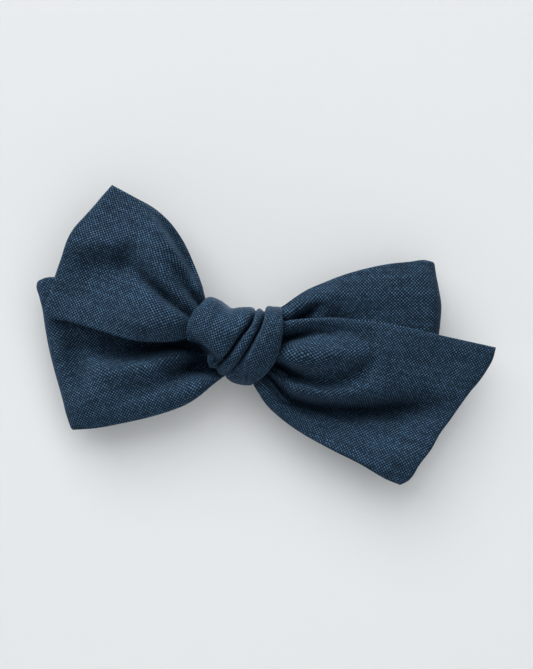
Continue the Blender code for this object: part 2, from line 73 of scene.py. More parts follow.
def place(x, z, h):
    """World points, in millimetres, that the camera sees at x, z and that lie at height h."""
    ray = (
        FORWARD * VIEW_DISTANCE
        + (x - VIEW_MIDDLE[0])[..., None] * VIEW_RIGHT
        + (z - VIEW_MIDDLE[2])[..., None] * VIEW_UP
    )
    reach = (-h - EYE[1]) / ray[..., 1]
    return EYE + ray * reach[..., None]


# ---- curves and patches --------------------------------------------------
def run_along(path):
    """How far along the path each of its points lies."""
    return np.concatenate([[0], np.cumsum(np.linalg.norm(np.diff(path, axis=0), axis=1))])


def hermite(knots, rows, at):
    """Cubic interpolation of the rows, which belong to the knots."""
    gaps = np.diff(knots)[:, None]
    slopes = np.diff(rows, axis=0) / gaps
    before, after = gaps[:-1], gaps[1:]
    tangents = np.empty_like(rows)
    tangents[0], tangents[-1] = slopes[0], slopes[-1]
    tangents[1:-1] = (slopes[:-1] * after + slopes[1:] * before) / (after + before)
    i = np.clip(np.searchsorted(knots, at, side="right") - 1, 0, len(knots) - 2)
    gap = gaps[i]
    s = (at - knots[i])[:, None] / gap
    return (
        rows[i] * (1 + 2 * s) * (1 - s) ** 2
        + tangents[i] * gap * s * (1 - s) ** 2
        + rows[i + 1] * s * s * (3 - 2 * s)
        + tangents[i + 1] * gap * s * s * (s - 1)
    )


def curve(points, at):
    """A smooth curve through the points, at shares of its length."""
    points = np.asarray(points, float)
    knots = run_along(points[:, :2])
    fine = hermite(knots / knots[-1], points, np.linspace(0, 1, 400))
    run = run_along(fine[:, :2])
    run /= run[-1]
    return np.stack([np.interp(at, run, column) for column in fine.T], axis=1)


def coons(top, bottom, neck, end, u, v):
    """x and z over a patch bounded by four curves: u runs neck to end, v top to bottom."""
    corners = np.array([0.0, 1.0])
    top_neck, top_end = curve(top, corners)
    bottom_neck, bottom_end = curve(bottom, corners)
    top, bottom = curve(top, u)[:, None], curve(bottom, u)[:, None]
    neck, end = curve(neck, v)[None], curve(end, v)[None]
    u, v = u[:, None, None], v[None, :, None]
    return (
        (1 - v) * top
        + v * bottom
        + (1 - u) * neck
        + u * end
        - (1 - u) * (1 - v) * top_neck
        - (1 - u) * v * bottom_neck
        - u * (1 - v) * top_end
        - u * v * bottom_end
    )


PLATE_SLACK = 2.0       # how freely a plate may miss its given heights


def plate_height(points, x, z):
    """A smooth height near the given (x, z, height) points, as a thin plate would bend."""
    points = np.asarray(points, float)
    sites, count = points[:, :2], len(points)

    def kernel(a, b):
        squared = ((a[:, None] - b[None]) ** 2).sum(2) + 1e-9
        return 0.5 * squared * np.log(squared)

    system = np.zeros((count + 3, count + 3))
    system[:count, :count] = kernel(sites, sites) + np.eye(count) * PLATE_SLACK
    system[:count, count] = 1
    system[:count, count + 1 :] = sites
    system[count:, :count] = system[:count, count:].T
    weights = np.linalg.solve(system, np.concatenate([points[:, 2], [0, 0, 0]]))
    at = np.stack([x.ravel(), z.ravel()], axis=1)
    height = kernel(at, sites) @ weights[:count] + weights[count] + at @ weights[count + 1 :]
    return height.reshape(x.shape)


def nearest(x, z, path):
    """Distance from each point to a path, which side it is on, and where along it."""
    at = np.stack([x.ravel(), z.ravel()], axis=1)
    start = path[:-1, :2]
    step = path[1:, :2] - start
    share = ((at[:, None] - start[None]) * step[None]).sum(2)
    share = np.clip(share / np.maximum((step * step).sum(1), 1e-12)[None], 0, 1)
    off = at[:, None] - (start[None] + share[..., None] * step[None])
    squared = (off * off).sum(2)
    i = squared.argmin(1)
    rows = np.arange(len(at))
    side = step[i, 0] * off[rows, i, 1] - step[i, 1] * off[rows, i, 0]
    found = np.sqrt(squared[rows, i]), side, i + share[rows, i]
    return [part.reshape(x.shape) for part in found]


# ---- relief --------------------------------------------------------------
def fold_height(x, z, strokes, blunt=0.12):
    """The height of folds drawn on the cloth.

    Each stroke is (power of its falloff, points), and each point is (x, z, rise, width on its
    left, width on its right), the sides as seen walking along.
    """
    total = np.zeros_like(x)
    for power, points in strokes:
        path = curve(points, np.linspace(0, 1, 48))
        distance, side, along = nearest(x, z, path)
        rise, left, right = (np.interp(along, np.arange(len(path)), path[:, i]) for i in (2, 3, 4))
        width = np.where(side > 0, left, right)
        away = np.sqrt(distance * distance + blunt * blunt) - blunt
        total += rise * np.exp(-((away / np.maximum(width, 0.05)) ** power))
    return total


def painted_crease_shade(fold):
    """How far down in a crease each point lies, 0 to 1, and so how much painted shade it gets."""
    return np.clip((-fold - 0.5) / 3.4, 0, 1)


def value_noise(x, y, seed):
    """Smooth noise between -1 and 1 that is the same on every run."""
    column, row = np.floor(x).astype(np.int64), np.floor(y).astype(np.int64)
    s, t = x - column, y - row
    s, t = s**3 * (s * (6 * s - 15) + 10), t**3 * (t * (6 * t - 15) + 10)

    def lattice(i, j):
        n = (i * 374761393 + j * 668265263 + seed * 2147483647) & 0xFFFFFFFF
        n = ((n ^ (n >> 13)) * 1274126177) & 0xFFFFFFFF
        return ((n ^ (n >> 16)) & 0xFFFF) / 32767.5 - 1

    low = lattice(column, row) * (1 - s) + lattice(column + 1, row) * s
    high = lattice(column, row + 1) * (1 - s) + lattice(column + 1, row + 1) * s
    return low * (1 - t) + high * t


# Share of the height, size along and across the lean, and offsets along and across.
RUFFLE_LAYERS = [(0.55, 13.0, 5.5, 31.7, 11.3), (0.30, 6.0, 2.8, 3.1, 7.9), (0.15, 2.6, 1.5, 9.4, 5.2)]


def ruffle(x, z, seed, lean, amount):
    """Slight unevenness that runs mostly along the cloth, which leans by so many degrees."""
    c, s = math.cos(math.radians(lean)), math.sin(math.radians(lean))
    along, across = x * c + z * s, -x * s + z * c
    return amount * sum(
        share * value_noise(along / length + shift, across / width + side_shift, seed + i)
        for i, (share, length, width, shift, side_shift) in enumerate(RUFFLE_LAYERS)
    )


def gathers(out, v, seed, amount):
    """Small folds fanning out of the knot and dying away.

    out is in millimetres from the knot and v runs across from 0 to 1.
    """
    wide = value_noise(v * 9.0 + 0.02 * out, 0.10 * out + 3.7, seed)
    narrow = value_noise(v * 21.0 + 5.5, 0.16 * out + 8.1, seed + 1)
    return amount * (0.7 * wide * np.exp(-out / 13.0) + 0.45 * narrow * np.exp(-out / 6.0))


# ---- surfaces ------------------------------------------------------------
def unit(a):
    return a / np.maximum(np.linalg.norm(a, axis=-1, keepdims=True), 1e-12)


def normals(grid, closed=False):
    """Unit normals of a grid.  A closed one has its first row again as its last."""
    if not closed:
        return unit(np.cross(np.gradient(grid, axis=0), np.gradient(grid, axis=1)))
    ring = grid[:-1]
    around = np.roll(ring, -1, axis=0) - np.roll(ring, 1, axis=0)
    found = unit(np.cross(around, np.gradient(ring, axis=1)))
    return np.concatenate([found, found[:1]])


def face_front(directions, front_rows=slice(None)):
    """The directions, turned about if those of the front rows point to the back."""
    return -directions if directions[front_rows][..., 1].mean() > 0 else directions


def side_distance(grid):
    """How far each point is from the nearer end of its row, over the surface."""
    run = np.zeros(grid.shape[:2])
    run[:, 1:] = np.cumsum(np.linalg.norm(np.diff(grid, axis=1), axis=2), axis=1)
    return np.minimum(run, run[:, -1:] - run)


def round_turn(distance, radius):
    """Rises from 0 at an edge to 1 a radius in, as a quarter circle does."""
    s = 1 - np.clip(distance / radius, 0, 1)
    return np.sqrt(1 - s * s)


PLIES_HALF = 0.46       # half the thickness of the plain plies
SEAM_WIDTH = 6.0        # how far in the seam allowance reaches
SEAM_FADE = 0.6
EDGE_TURN = 1.0


def edge_profile(distance, rim):
    """Half thickness in from a finished edge: a turn, the seam allowance, the plain plies."""
    step = 1 + np.exp((distance - SEAM_WIDTH) / SEAM_FADE)
    return (PLIES_HALF + (rim - PLIES_HALF) / step) * round_turn(distance, EDGE_TURN)


def shares(middle, fine, at_start=True):
    """Shares from 0 to 1: evenly spread ones, then fine ones at the end and maybe the start."""
    start = list(fine) if at_start else [0.0]
    end = [1 - f for f in fine][::-1]
    return np.array(start[:-1] + list(np.linspace(start[-1], end[0], middle)) + end[1:])


EDGE_SHARES = (0.0, 0.0012, 0.0045, 0.010, 0.018, 0.028, 0.041)


def thread_coordinates(grid, across, rounds, closed=False):
    """How far each point is along and across the threads, in millimetres.

    across is the crosswise thread direction.  Conjugate gradients bring the stretching down
    for so many rounds.
    """
    out = normals(grid, closed)
    across = unit(across - out * (across * out).sum(2, keepdims=True))
    along = np.cross(across, out)

    def to_points(on_i, on_j, sign=1):
        """Adds values on the grid's steps to the points at their far and near ends."""
        total = np.zeros(grid.shape[:2])
        total[1:] += on_i
        total[:-1] += sign * on_i
        total[:, 1:] += on_j
        total[:, :-1] += sign * on_j
        return total

    step_i, step_j = grid[1:] - grid[:-1], grid[:, 1:] - grid[:, :-1]
    length_i = np.maximum(np.linalg.norm(step_i, axis=2), 1e-4)
    length_j = np.maximum(np.linalg.norm(step_j, axis=2), 1e-4)
    size_i, size_j = to_points(length_i / 2, 0), to_points(0, length_j / 2)
    weight_i = np.clip((size_j[1:] + size_j[:-1]) / 2 / length_i, 0.02, 50)
    weight_j = np.clip((size_i[:, 1:] + size_i[:, :-1]) / 2 / length_j, 0.02, 50)
    diagonal = to_points(weight_i, weight_j)

    def spread(a):
        return to_points(weight_i * (a[1:] - a[:-1]), weight_j * (a[:, 1:] - a[:, :-1]), -1)

    middle = grid.shape[1] // 2
    found = []
    for field in (along, across):
        rise_i = ((field[1:] + field[:-1]) / 2 * step_i).sum(2)
        rise_j = ((field[:, 1:] + field[:, :-1]) / 2 * step_j).sum(2)
        # The first guess adds up steps down the middle column and out from it.
        a = np.zeros(grid.shape[:2])
        a[1:, middle] = np.cumsum(rise_i[:, middle])
        core = a[:, middle : middle + 1]
        a[:, middle + 1 :] = core + np.cumsum(rise_j[:, middle:], axis=1)
        a[:, :middle] = (core - np.cumsum(rise_j[:, :middle][:, ::-1], axis=1))[:, ::-1]
        rest = to_points(weight_i * rise_i, weight_j * rise_j, -1) - spread(a)
        scaled = rest / diagonal
        heading, error = scaled.copy(), (rest * scaled).sum()
        for _ in range(rounds):
            change = spread(heading)
            step = error / max((heading * change).sum(), 1e-30)
            a += step * heading
            rest -= step * change
            scaled = rest / diagonal
            new_error = (rest * scaled).sum()
            if new_error < 1e-12:
                break
            heading = scaled + (new_error / error) * heading
            error = new_error
        found.append(a)
    return np.stack(found, axis=2)


# ---- objects -------------------------------------------------------------
def add_object(name, data):
    obj = bpy.data.objects.new(name, data)
    bpy.context.scene.collection.objects.link(obj)
    return obj


def smooth_object(name, verts, faces, two_skins=False, fill=None):
    """A smooth-shaded object from vertices in millimetres.  fill(mesh) adds its layers."""
    mesh = bpy.data.meshes.new(name)
    mesh.from_pydata((verts * MM).tolist(), [], faces)
    if fill:
        fill(mesh)
    bm = bmesh.new()
    bm.from_mesh(mesh)
    if two_skins:
        # The skins share their edge, where the thickness is nothing.
        bmesh.ops.remove_doubles(bm, verts=bm.verts, dist=2e-7)
    bmesh.ops.recalc_face_normals(bm, faces=bm.faces)
    if two_skins and bm.calc_volume(signed=True) < 0:
        bmesh.ops.reverse_faces(bm, faces=bm.faces)
    bm.to_mesh(mesh)
    bm.free()
    mesh.shade_smooth()
    return add_object(name, mesh)


# Steps to each face's corners, and the shift of its thread coordinates, for the two skins.
OUTER_SKIN = ((0, 0), (1, 0), (1, 1), (0, 1)), (0.0, 0.0)
INNER_SKIN = ((0, 0), (0, 1), (1, 1), (1, 0)), (7.3, 3.1)


def cloth_tube(name, replaces, mid, out, half, threads, painted_shade, closed=False):
    """A turned two-ply tube: the surface mid, grown by half both ways along out, edges shut.

    A closed one has its first row again as its last.  out is the direction of the cloth
    before it is creased, so creases keep their depth.
    """
    rows, cols = mid.shape[:2]
    ring = rows - 1 if closed else rows
    half = half.copy()
    half[:, 0] = half[:, -1] = 0
    if not closed:
        half[0] = half[-1] = 0
    grow = out * half[..., None]
    verts = np.concatenate([skin[:ring].reshape(-1, 3) for skin in (mid + grow, mid - grow)])
    count = ring * cols
    i, j = np.meshgrid(np.arange(rows - 1), np.arange(cols - 1), indexing="ij")
    faces, uvs = [], []
    for first, (corners, shift) in ((0, OUTER_SKIN), (count, INNER_SKIN)):
        index = [first + (i + a) % ring * cols + j + b for a, b in corners]
        faces.append(np.stack(index, axis=2).reshape(-1, 4))
        uv = [threads[i + a, j + b] for a, b in corners]
        uvs.append(np.stack(uv, axis=2).reshape(-1, 2) + shift)

    def fill(mesh):
        layer = mesh.uv_layers.new(name="threads")
        layer.data.foreach_set("uv", np.concatenate(uvs).astype(np.float32).ravel())
        # Painted shade for the creases, on the outer skin only; the inner skin gets none.
        hidden = mesh.attributes.new("painted_shade", "FLOAT", "POINT")
        values = np.concatenate([painted_shade[:ring].ravel(), np.zeros(count)])
        hidden.data.foreach_set("value", values.astype(np.float32))

    obj = smooth_object(name, verts, np.concatenate(faces).tolist(), two_skins=True, fill=fill)
    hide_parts(*replaces)
    return obj


def cad_layers(name):
    return [f"{name}_{layer}" for layer in ("face_cloth", "backing_cloth", "seam_thread")]


# ---- tails ---------------------------------------------------------------
# rows run out from the knot and columns run from top to bottom.
# top, bottom, neck, end: (x, z) outlines.  heights: (x, z, h).  strokes: see fold_height().
# grain: (x, z, degrees the lengthwise threads fall to the right).
# blend: where the tail starts to leave the bow and where it has left it, in metres.
TAIL_LEFT = dict(
    rows=150, columns=130, seed=11, lean=-35,
    blend=((-0.0075, -0.0195, 0.0025), (-0.0155, -0.0215, 0.0075)),
    top=[
        (-5, 8.2), (-7, 10.5), (-8, 13.8), (-9.8, 18.5), (-12.8, 25), (-16.2, 29.8),
        (-19.8, 33), (-25, 36), (-30.5, 39),
    ],
    bottom=[
        (-5, 2.2), (-9, 1.5), (-13, 0.5), (-15, 0), (-19, -0.2), (-23.5, 0), (-28.5, 1),
        (-33.5, 2.5), (-38, 3.8), (-42, 5), (-46, 5.8), (-47.5, 7),
    ],
    neck=[(-5, 8.2), (-5, 5.2), (-5, 2.2)],
    end=[
        (-30.5, 39), (-32.8, 36.4), (-34.8, 34), (-37.5, 31), (-40, 28.2), (-41.1, 26.5),
        (-41.9, 24.8), (-43.2, 20.8), (-44.8, 16.2), (-46.5, 10.5), (-47.5, 7),
    ],
    heights=[
        (-5, 8.2, 19), (-5, 2.2, 18.6), (-7.5, 5.2, 20), (-7.5, 10.2, 19.2), (-8, 13.8, 18.8),
        (-9.8, 18.5, 18.6), (-12.8, 25, 18.2), (-16.2, 29.8, 17.6), (-19.8, 33, 16.4),
        (-9.5, 12.2, 20.6), (-10.8, 15.2, 21), (-12.8, 19.2, 21.4), (-15.8, 23.8, 21.4),
        (-19, 28, 20.4), (-21.8, 31.5, 18.8), (-14, 13.8, 22.6), (-17.8, 18.2, 23),
        (-21, 22.8, 22), (-24.5, 27.2, 20.6), (-12.5, 4.8, 21.8), (-17.2, 7.2, 23.4),
        (-21, 9.5, 23), (-26, 12.2, 20.4), (-30.5, 14.8, 19.1), (-33.5, 10.2, 18.7),
        (-30.5, 39, 16.6), (-33.5, 34, 18.2), (-28.5, 32, 19), (-28.5, 27.2, 20.6),
        (-34.5, 27.2, 20.2), (-37.5, 30.8, 18.4), (-39, 26.2, 19.6), (-41.5, 25.2, 18.6),
        (-36, 24.2, 20.2), (-28, 20.8, 19.6), (-32, 19.8, 19.3), (-36.5, 19.8, 19.2),
        (-40.5, 19.8, 18.8), (-43, 19.8, 18.2), (-45, 15.8, 17.9), (-37, 13.8, 18.3),
        (-37.5, 10.2, 18), (-42.5, 12.2, 17.7), (-47.2, 8.8, 17.9), (-47.5, 7, 17.2),
        (-9.5, 1.5, 18.4), (-13, 0.5, 18.2), (-19, -0.2, 20), (-23.5, 0, 20.2),
        (-28.5, 1, 19.8), (-33.5, 2.5, 19.2), (-38, 3.8, 18.6), (-42, 5, 17.9),
        (-46, 5.8, 17.2), (-14, 3.5, 22.2), (-19, 3.2, 22.9), (-23.5, 3.2, 22.2),
        (-28.5, 4, 20.5), (-33.5, 5.2, 19.3), (-38, 6.2, 18.8), (-42.5, 7.5, 18.1),
    ],
    strokes=[
        # the main crease, from the knot up and out, ending in a dimple
        (1.5, [
            (-7, 2.8, -1.6, 0.9, 1.2), (-10.5, 5.5, -1.9, 0.8, 1.2), (-13.5, 7.8, -2.4, 0.8, 1.5),
            (-17.5, 11, -3.4, 0.9, 1.9), (-21.5, 14.8, -2.6, 1.3, 2.4), (-25, 18.2, -1.8, 2, 2.8),
            (-28, 20.5, -1.4, 2.6, 3.2), (-30.5, 22, 0, 2.8, 3.2),
        ]),
        # the dent between the puffed ridge and the rolled edge
        (1.6, [
            (-7, 6.2, -2.4, 0.8, 0.8), (-9.2, 9.2, -2.8, 0.8, 0.9), (-11.5, 12.5, -2.8, 1.2, 1.2),
            (-13.8, 16.2, -2.4, 1.9, 1.9), (-15.8, 20.2, -0.9, 2, 2.2), (-17, 22.8, 0, 2.2, 2.2),
        ]),
        # the rolled edge's shoulder
        (1.8, [
            (-8.5, 10.8, 0.3, 0.8, 1.2), (-11, 15.5, 0.6, 0.9, 1.6), (-14, 20.8, 0.9, 1, 2),
            (-17.5, 25.2, 0.9, 1, 2.2), (-20.8, 29.2, 0.6, 1.2, 2.4), (-23, 32.2, 0, 1.8, 2.4),
        ]),
        # the hollow just inside the edge
        (1.7, [
            (-21, 32.8, 0, 0.9, 0.9), (-18.2, 29.5, -1.8, 1, 1), (-15.5, 25.8, -2.8, 1.1, 1.1),
            (-13, 21.5, -2.8, 1.1, 1), (-11, 17.8, -1.8, 1, 0.9), (-9.2, 13.8, 0, 0.9, 0.9),
        ]),
        # the soft bend below the apex
        (2, [
            (-44.5, 17.8, -0.4, 3.4, 6), (-39.5, 18.5, -0.9, 3.4, 6.5), (-34, 18.8, -1.1, 3.2, 6),
            (-29, 19, -0.9, 3, 5), (-25, 18.8, 0, 3, 4.4),
        ]),
        # and the low rise above it
        (2, [
            (-40.5, 24.2, 0.3, 3, 2.4), (-35.5, 24.2, 0.8, 3, 2.4), (-28.5, 24, 0.9, 2.8, 2.6),
            (-23, 23.8, 0, 3, 3),
        ]),
    ],
    grain=[
        (-21, 2.8, 14), (-33.5, 5.2, 14), (-43.5, 10.2, 14), (-13.5, 4, 16), (-17.2, 17.8, 36),
        (-11, 12.8, 38), (-21, 22.8, 34), (-28.5, 31.5, 30), (-33.5, 27.8, 24), (-38.5, 17.8, 16),
    ],
)
TAIL_RIGHT = dict(
    rows=165, columns=140, seed=23, lean=-20,
    blend=((0.0072, -0.0195, -0.0010), (0.0160, -0.0215, -0.0040)),
    top=[
        (5.5, 1.8), (9, 3.8), (12.8, 5), (16.5, 5.5), (21.5, 5.8), (26.5, 5.8), (31.5, 5.2),
        (36.5, 4.6), (41.5, 3.8), (46.5, 2.7), (51.5, 1.5), (56.5, 0.4), (61.5, -0.7),
        (65.5, -1.6),
    ],
    bottom=[
        (3.5, -4.8), (4, -7.8), (4.8, -10.8), (6, -12.8), (8, -15.8), (11.5, -19.2),
        (16.5, -22.8), (24, -27), (31.5, -30.8), (38.5, -34.8), (41.5, -36),
    ],
    neck=[(5.5, 1.8), (4.5, -1.5), (3.5, -4.8)],
    end=[
        (65.5, -1.6), (64.6, -4.8), (63.5, -6.8), (61.5, -9.8), (59, -12.8), (56.5, -16.2),
        (54, -19.8), (51.5, -23.2), (49.5, -26.8), (46.5, -30.8), (43.5, -35), (41.5, -36),
    ],
    heights=[
        (5.5, 1.8, 19), (4.5, -1.5, 19.2), (3.5, -4.8, 18.6), (12.5, 4.5, 20.6),
        (16.5, 5.5, 21.4), (21.5, 5.8, 21.8), (26.5, 5.8, 21.8), (36.5, 4.5, 21.3),
        (46.5, 2.8, 20.2), (56.5, 0.5, 18.5), (65.5, -1.5, 16.4), (13.5, 3.2, 21),
        (17.8, 4, 21.8), (24, 4.2, 22), (31.5, 3.5, 21.7), (41.5, 1.5, 20.8),
        (51.5, -0.8, 19.3), (60.5, -2.8, 17.5), (16.5, 1.2, 21.1), (24, 1, 21.4),
        (31.5, 0.2, 21.4), (41.5, -1.8, 20.6), (9.5, -2.5, 21.2), (12.5, -2.8, 23.2),
        (17.5, -3.2, 24.6), (24, -3.5, 24.5), (31, -3.8, 23.2), (41.5, -5.2, 20.2),
        (51.5, -7.8, 18.4), (61, -7.2, 16.6), (12.5, -6.5, 22.4), (17.5, -6.8, 22.8),
        (24, -6.8, 22.4), (31, -6.5, 21.6), (12.5, -8.8, 21.4), (16.5, -12, 22.3),
        (21.5, -13.2, 22.3), (27.8, -13, 21.1), (35.2, -11.8, 20), (42.8, -11.2, 19.2),
        (50.5, -11.8, 18.4), (6, -9.8, 17), (7, -12.8, 16.6), (11, -16.8, 16.4),
        (16.5, -20, 16.4), (25.5, -22.2, 16.6), (35.2, -23.8, 16.4), (41.5, -22.2, 16),
        (36.5, -27.8, 17), (44, -26.2, 16.4), (4.8, -10.8, 16.2), (8, -15.8, 16.4),
        (16.5, -22.8, 17.2), (24, -27, 18.4), (31.5, -30.8, 18.2), (38.5, -34.8, 16.4),
        (41.5, -36, 15.6), (63.5, -6.8, 16), (59, -12.8, 16), (54, -19.8, 15.8),
        (49.5, -26.8, 16), (44.5, -33.8, 15.8), (40.2, -30.8, 17.2),
    ],
    strokes=[
        # three creases out of the knot, from the top down
        (1.5, [
            (7, -1.8, -3.2, 1, 0.9), (10.5, -1, -4, 1.1, 0.9), (13.5, 0, -4.4, 1.3, 0.9),
            (17, 1, -3.6, 1.4, 1.1), (20.5, 1.9, -2, 1.6, 1.5), (25, 2.4, -1, 1.8, 2.2),
            (31.5, 2, -0.5, 2.2, 2.6), (39, 1.2, 0, 2.6, 3),
        ]),
        (1.5, [
            (6, -4, -3.4, 0.9, 0.8), (9, -5.5, -5.6, 1.1, 0.9), (12, -7, -6.6, 1.5, 1.2),
            (15.5, -8.8, -4.4, 1.8, 1.5), (19, -10, -3.2, 2.1, 1.9), (23.5, -10.2, -2.8, 2.6, 2.4),
            (28, -9, -2.4, 3, 2.8), (32.5, -6.5, -1.8, 3.2, 3), (37.5, -3.8, 0, 3.6, 3.4),
        ]),
        (1.7, [
            (5.5, -6.2, -2.6, 1, 0.8), (8.5, -8.5, -3.8, 1.1, 0.9), (10.8, -11.2, -4.4, 1.3, 1.2),
            (14, -14.2, -4.4, 1.6, 1.7), (18.5, -15.9, -4.2, 1.8, 2), (24, -16.8, -4.2, 2.1, 2.3),
            (29.5, -17.2, -4.2, 2.3, 2.5), (36, -17.1, -4, 2.5, 2.7), (42, -16.5, -3.6, 2.9, 3.2),
            (48, -16.1, -2.4, 3.4, 3.6), (53, -17, -0.9, 3.8, 4), (57, -18.2, 0, 4, 4.6),
        ]),
        # the low rise along the top edge
        (2, [
            (12.5, 3.8, 0.2, 1, 1), (19, 4.8, 0.5, 1.2, 1.4), (27.8, 5, 0.4, 1.4, 1.8),
            (36.5, 3.8, 0, 1.6, 2),
        ]),
        # the puffed top of the main ridge
        (2, [
            (13, -3.2, 0.2, 2, 2.4), (17.5, -3.5, 0.8, 2.4, 3), (24.5, -3.5, 0.8, 2.6, 3.2),
            (30, -3.2, 0.3, 3, 3.6), (35.5, -2.8, 0, 3.4, 4),
        ]),
        # the ridge between the two lower creases
        (2, [
            (14.5, -11.8, 0.3, 1.4, 1.2), (21, -13.2, 0.7, 1.8, 1.5), (27.8, -13.8, 0.8, 2.2, 2),
            (35.2, -13.2, 0.4, 3, 2.4), (41.5, -12.8, 0, 3, 2.6),
        ]),
    ],
    grain=[
        (16.5, 2.8, 10), (29, 0.2, 11), (46.5, -4.8, 12), (59, -4.8, 13), (16.5, -9.8, 13),
        (41.5, -14.8, 14), (16.5, -22.2, 18), (29, -27.2, 19), (41.5, -32.2, 17),
    ],
)
TAIL_GATHER_LENGTH = 50     # the tail's nominal length for its gathers
TAIL_EDGE_LENGTH = 60       # and for thinning it towards the knot


def across_field(x, z, grain):
    """The crosswise thread direction over a tail."""
    grain = np.asarray(grain, float)
    squared = (x[..., None] - grain[:, 0]) ** 2 + (z[..., None] - grain[:, 1]) ** 2
    weight = 1 / (squared + 30.0) ** 1.5
    fall = np.radians((weight * grain[:, 2]).sum(-1) / weight.sum(-1))
    return np.stack([np.sin(fall), np.zeros_like(fall), np.cos(fall)], axis=2)


def soften_corners(xz):
    """Turned corners are never quite sharp."""
    xz = xz.copy()
    for _ in range(2):
        for corner, beside in ((0, 1), (-1, -2)):
            xz[-1, corner] = 0.5 * xz[-1, corner] + 0.25 * (xz[-2, corner] + xz[-1, beside])
    return xz


def make_tail(name, tail):
    top, bottom, end, seed = tail["top"], tail["bottom"], tail["end"], tail["seed"]
    u = shares(tail["rows"], EDGE_SHARES, at_start=False) ** 0.92
    v = shares(tail["columns"], EDGE_SHARES)
    xz = soften_corners(coons(top, bottom, tail["neck"], end, u, v))
    x, z = xz[..., 0], xz[..., 1]
    h = plate_height(tail["heights"], x, z)
    out = face_front(normals(place(x, z, h)))
    fold = fold_height(x, z, tail["strokes"])
    h = h + fold + ruffle(x, z, seed, tail["lean"], amount=0.30)
    h = h + gathers(u[:, None] * TAIL_GATHER_LENGTH, v[None], seed + 7, amount=0.8)
    mid = place(x, z, h)
    border = np.concatenate([
        curve(top, np.linspace(0, 1, 60)),
        curve(end, np.linspace(0, 1, 40)),
        curve(bottom, np.linspace(1, 0, 60)),
    ])
    distance = np.minimum(nearest(x, z, border)[0], u[:, None] * TAIL_EDGE_LENGTH)
    half = edge_profile(distance, rim=0.66)
    threads = thread_coordinates(mid, across_field(x, z, tail["grain"]), rounds=260)
    # The tail's creases get painted shade from their depth.
    obj = cloth_tube(f"{name}_cloth", cad_layers(name), mid, out, half, threads, painted_crease_shade(fold))
    start, finish = tail["blend"]
    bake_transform(obj)
    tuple(start)
    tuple(finish)
    return obj


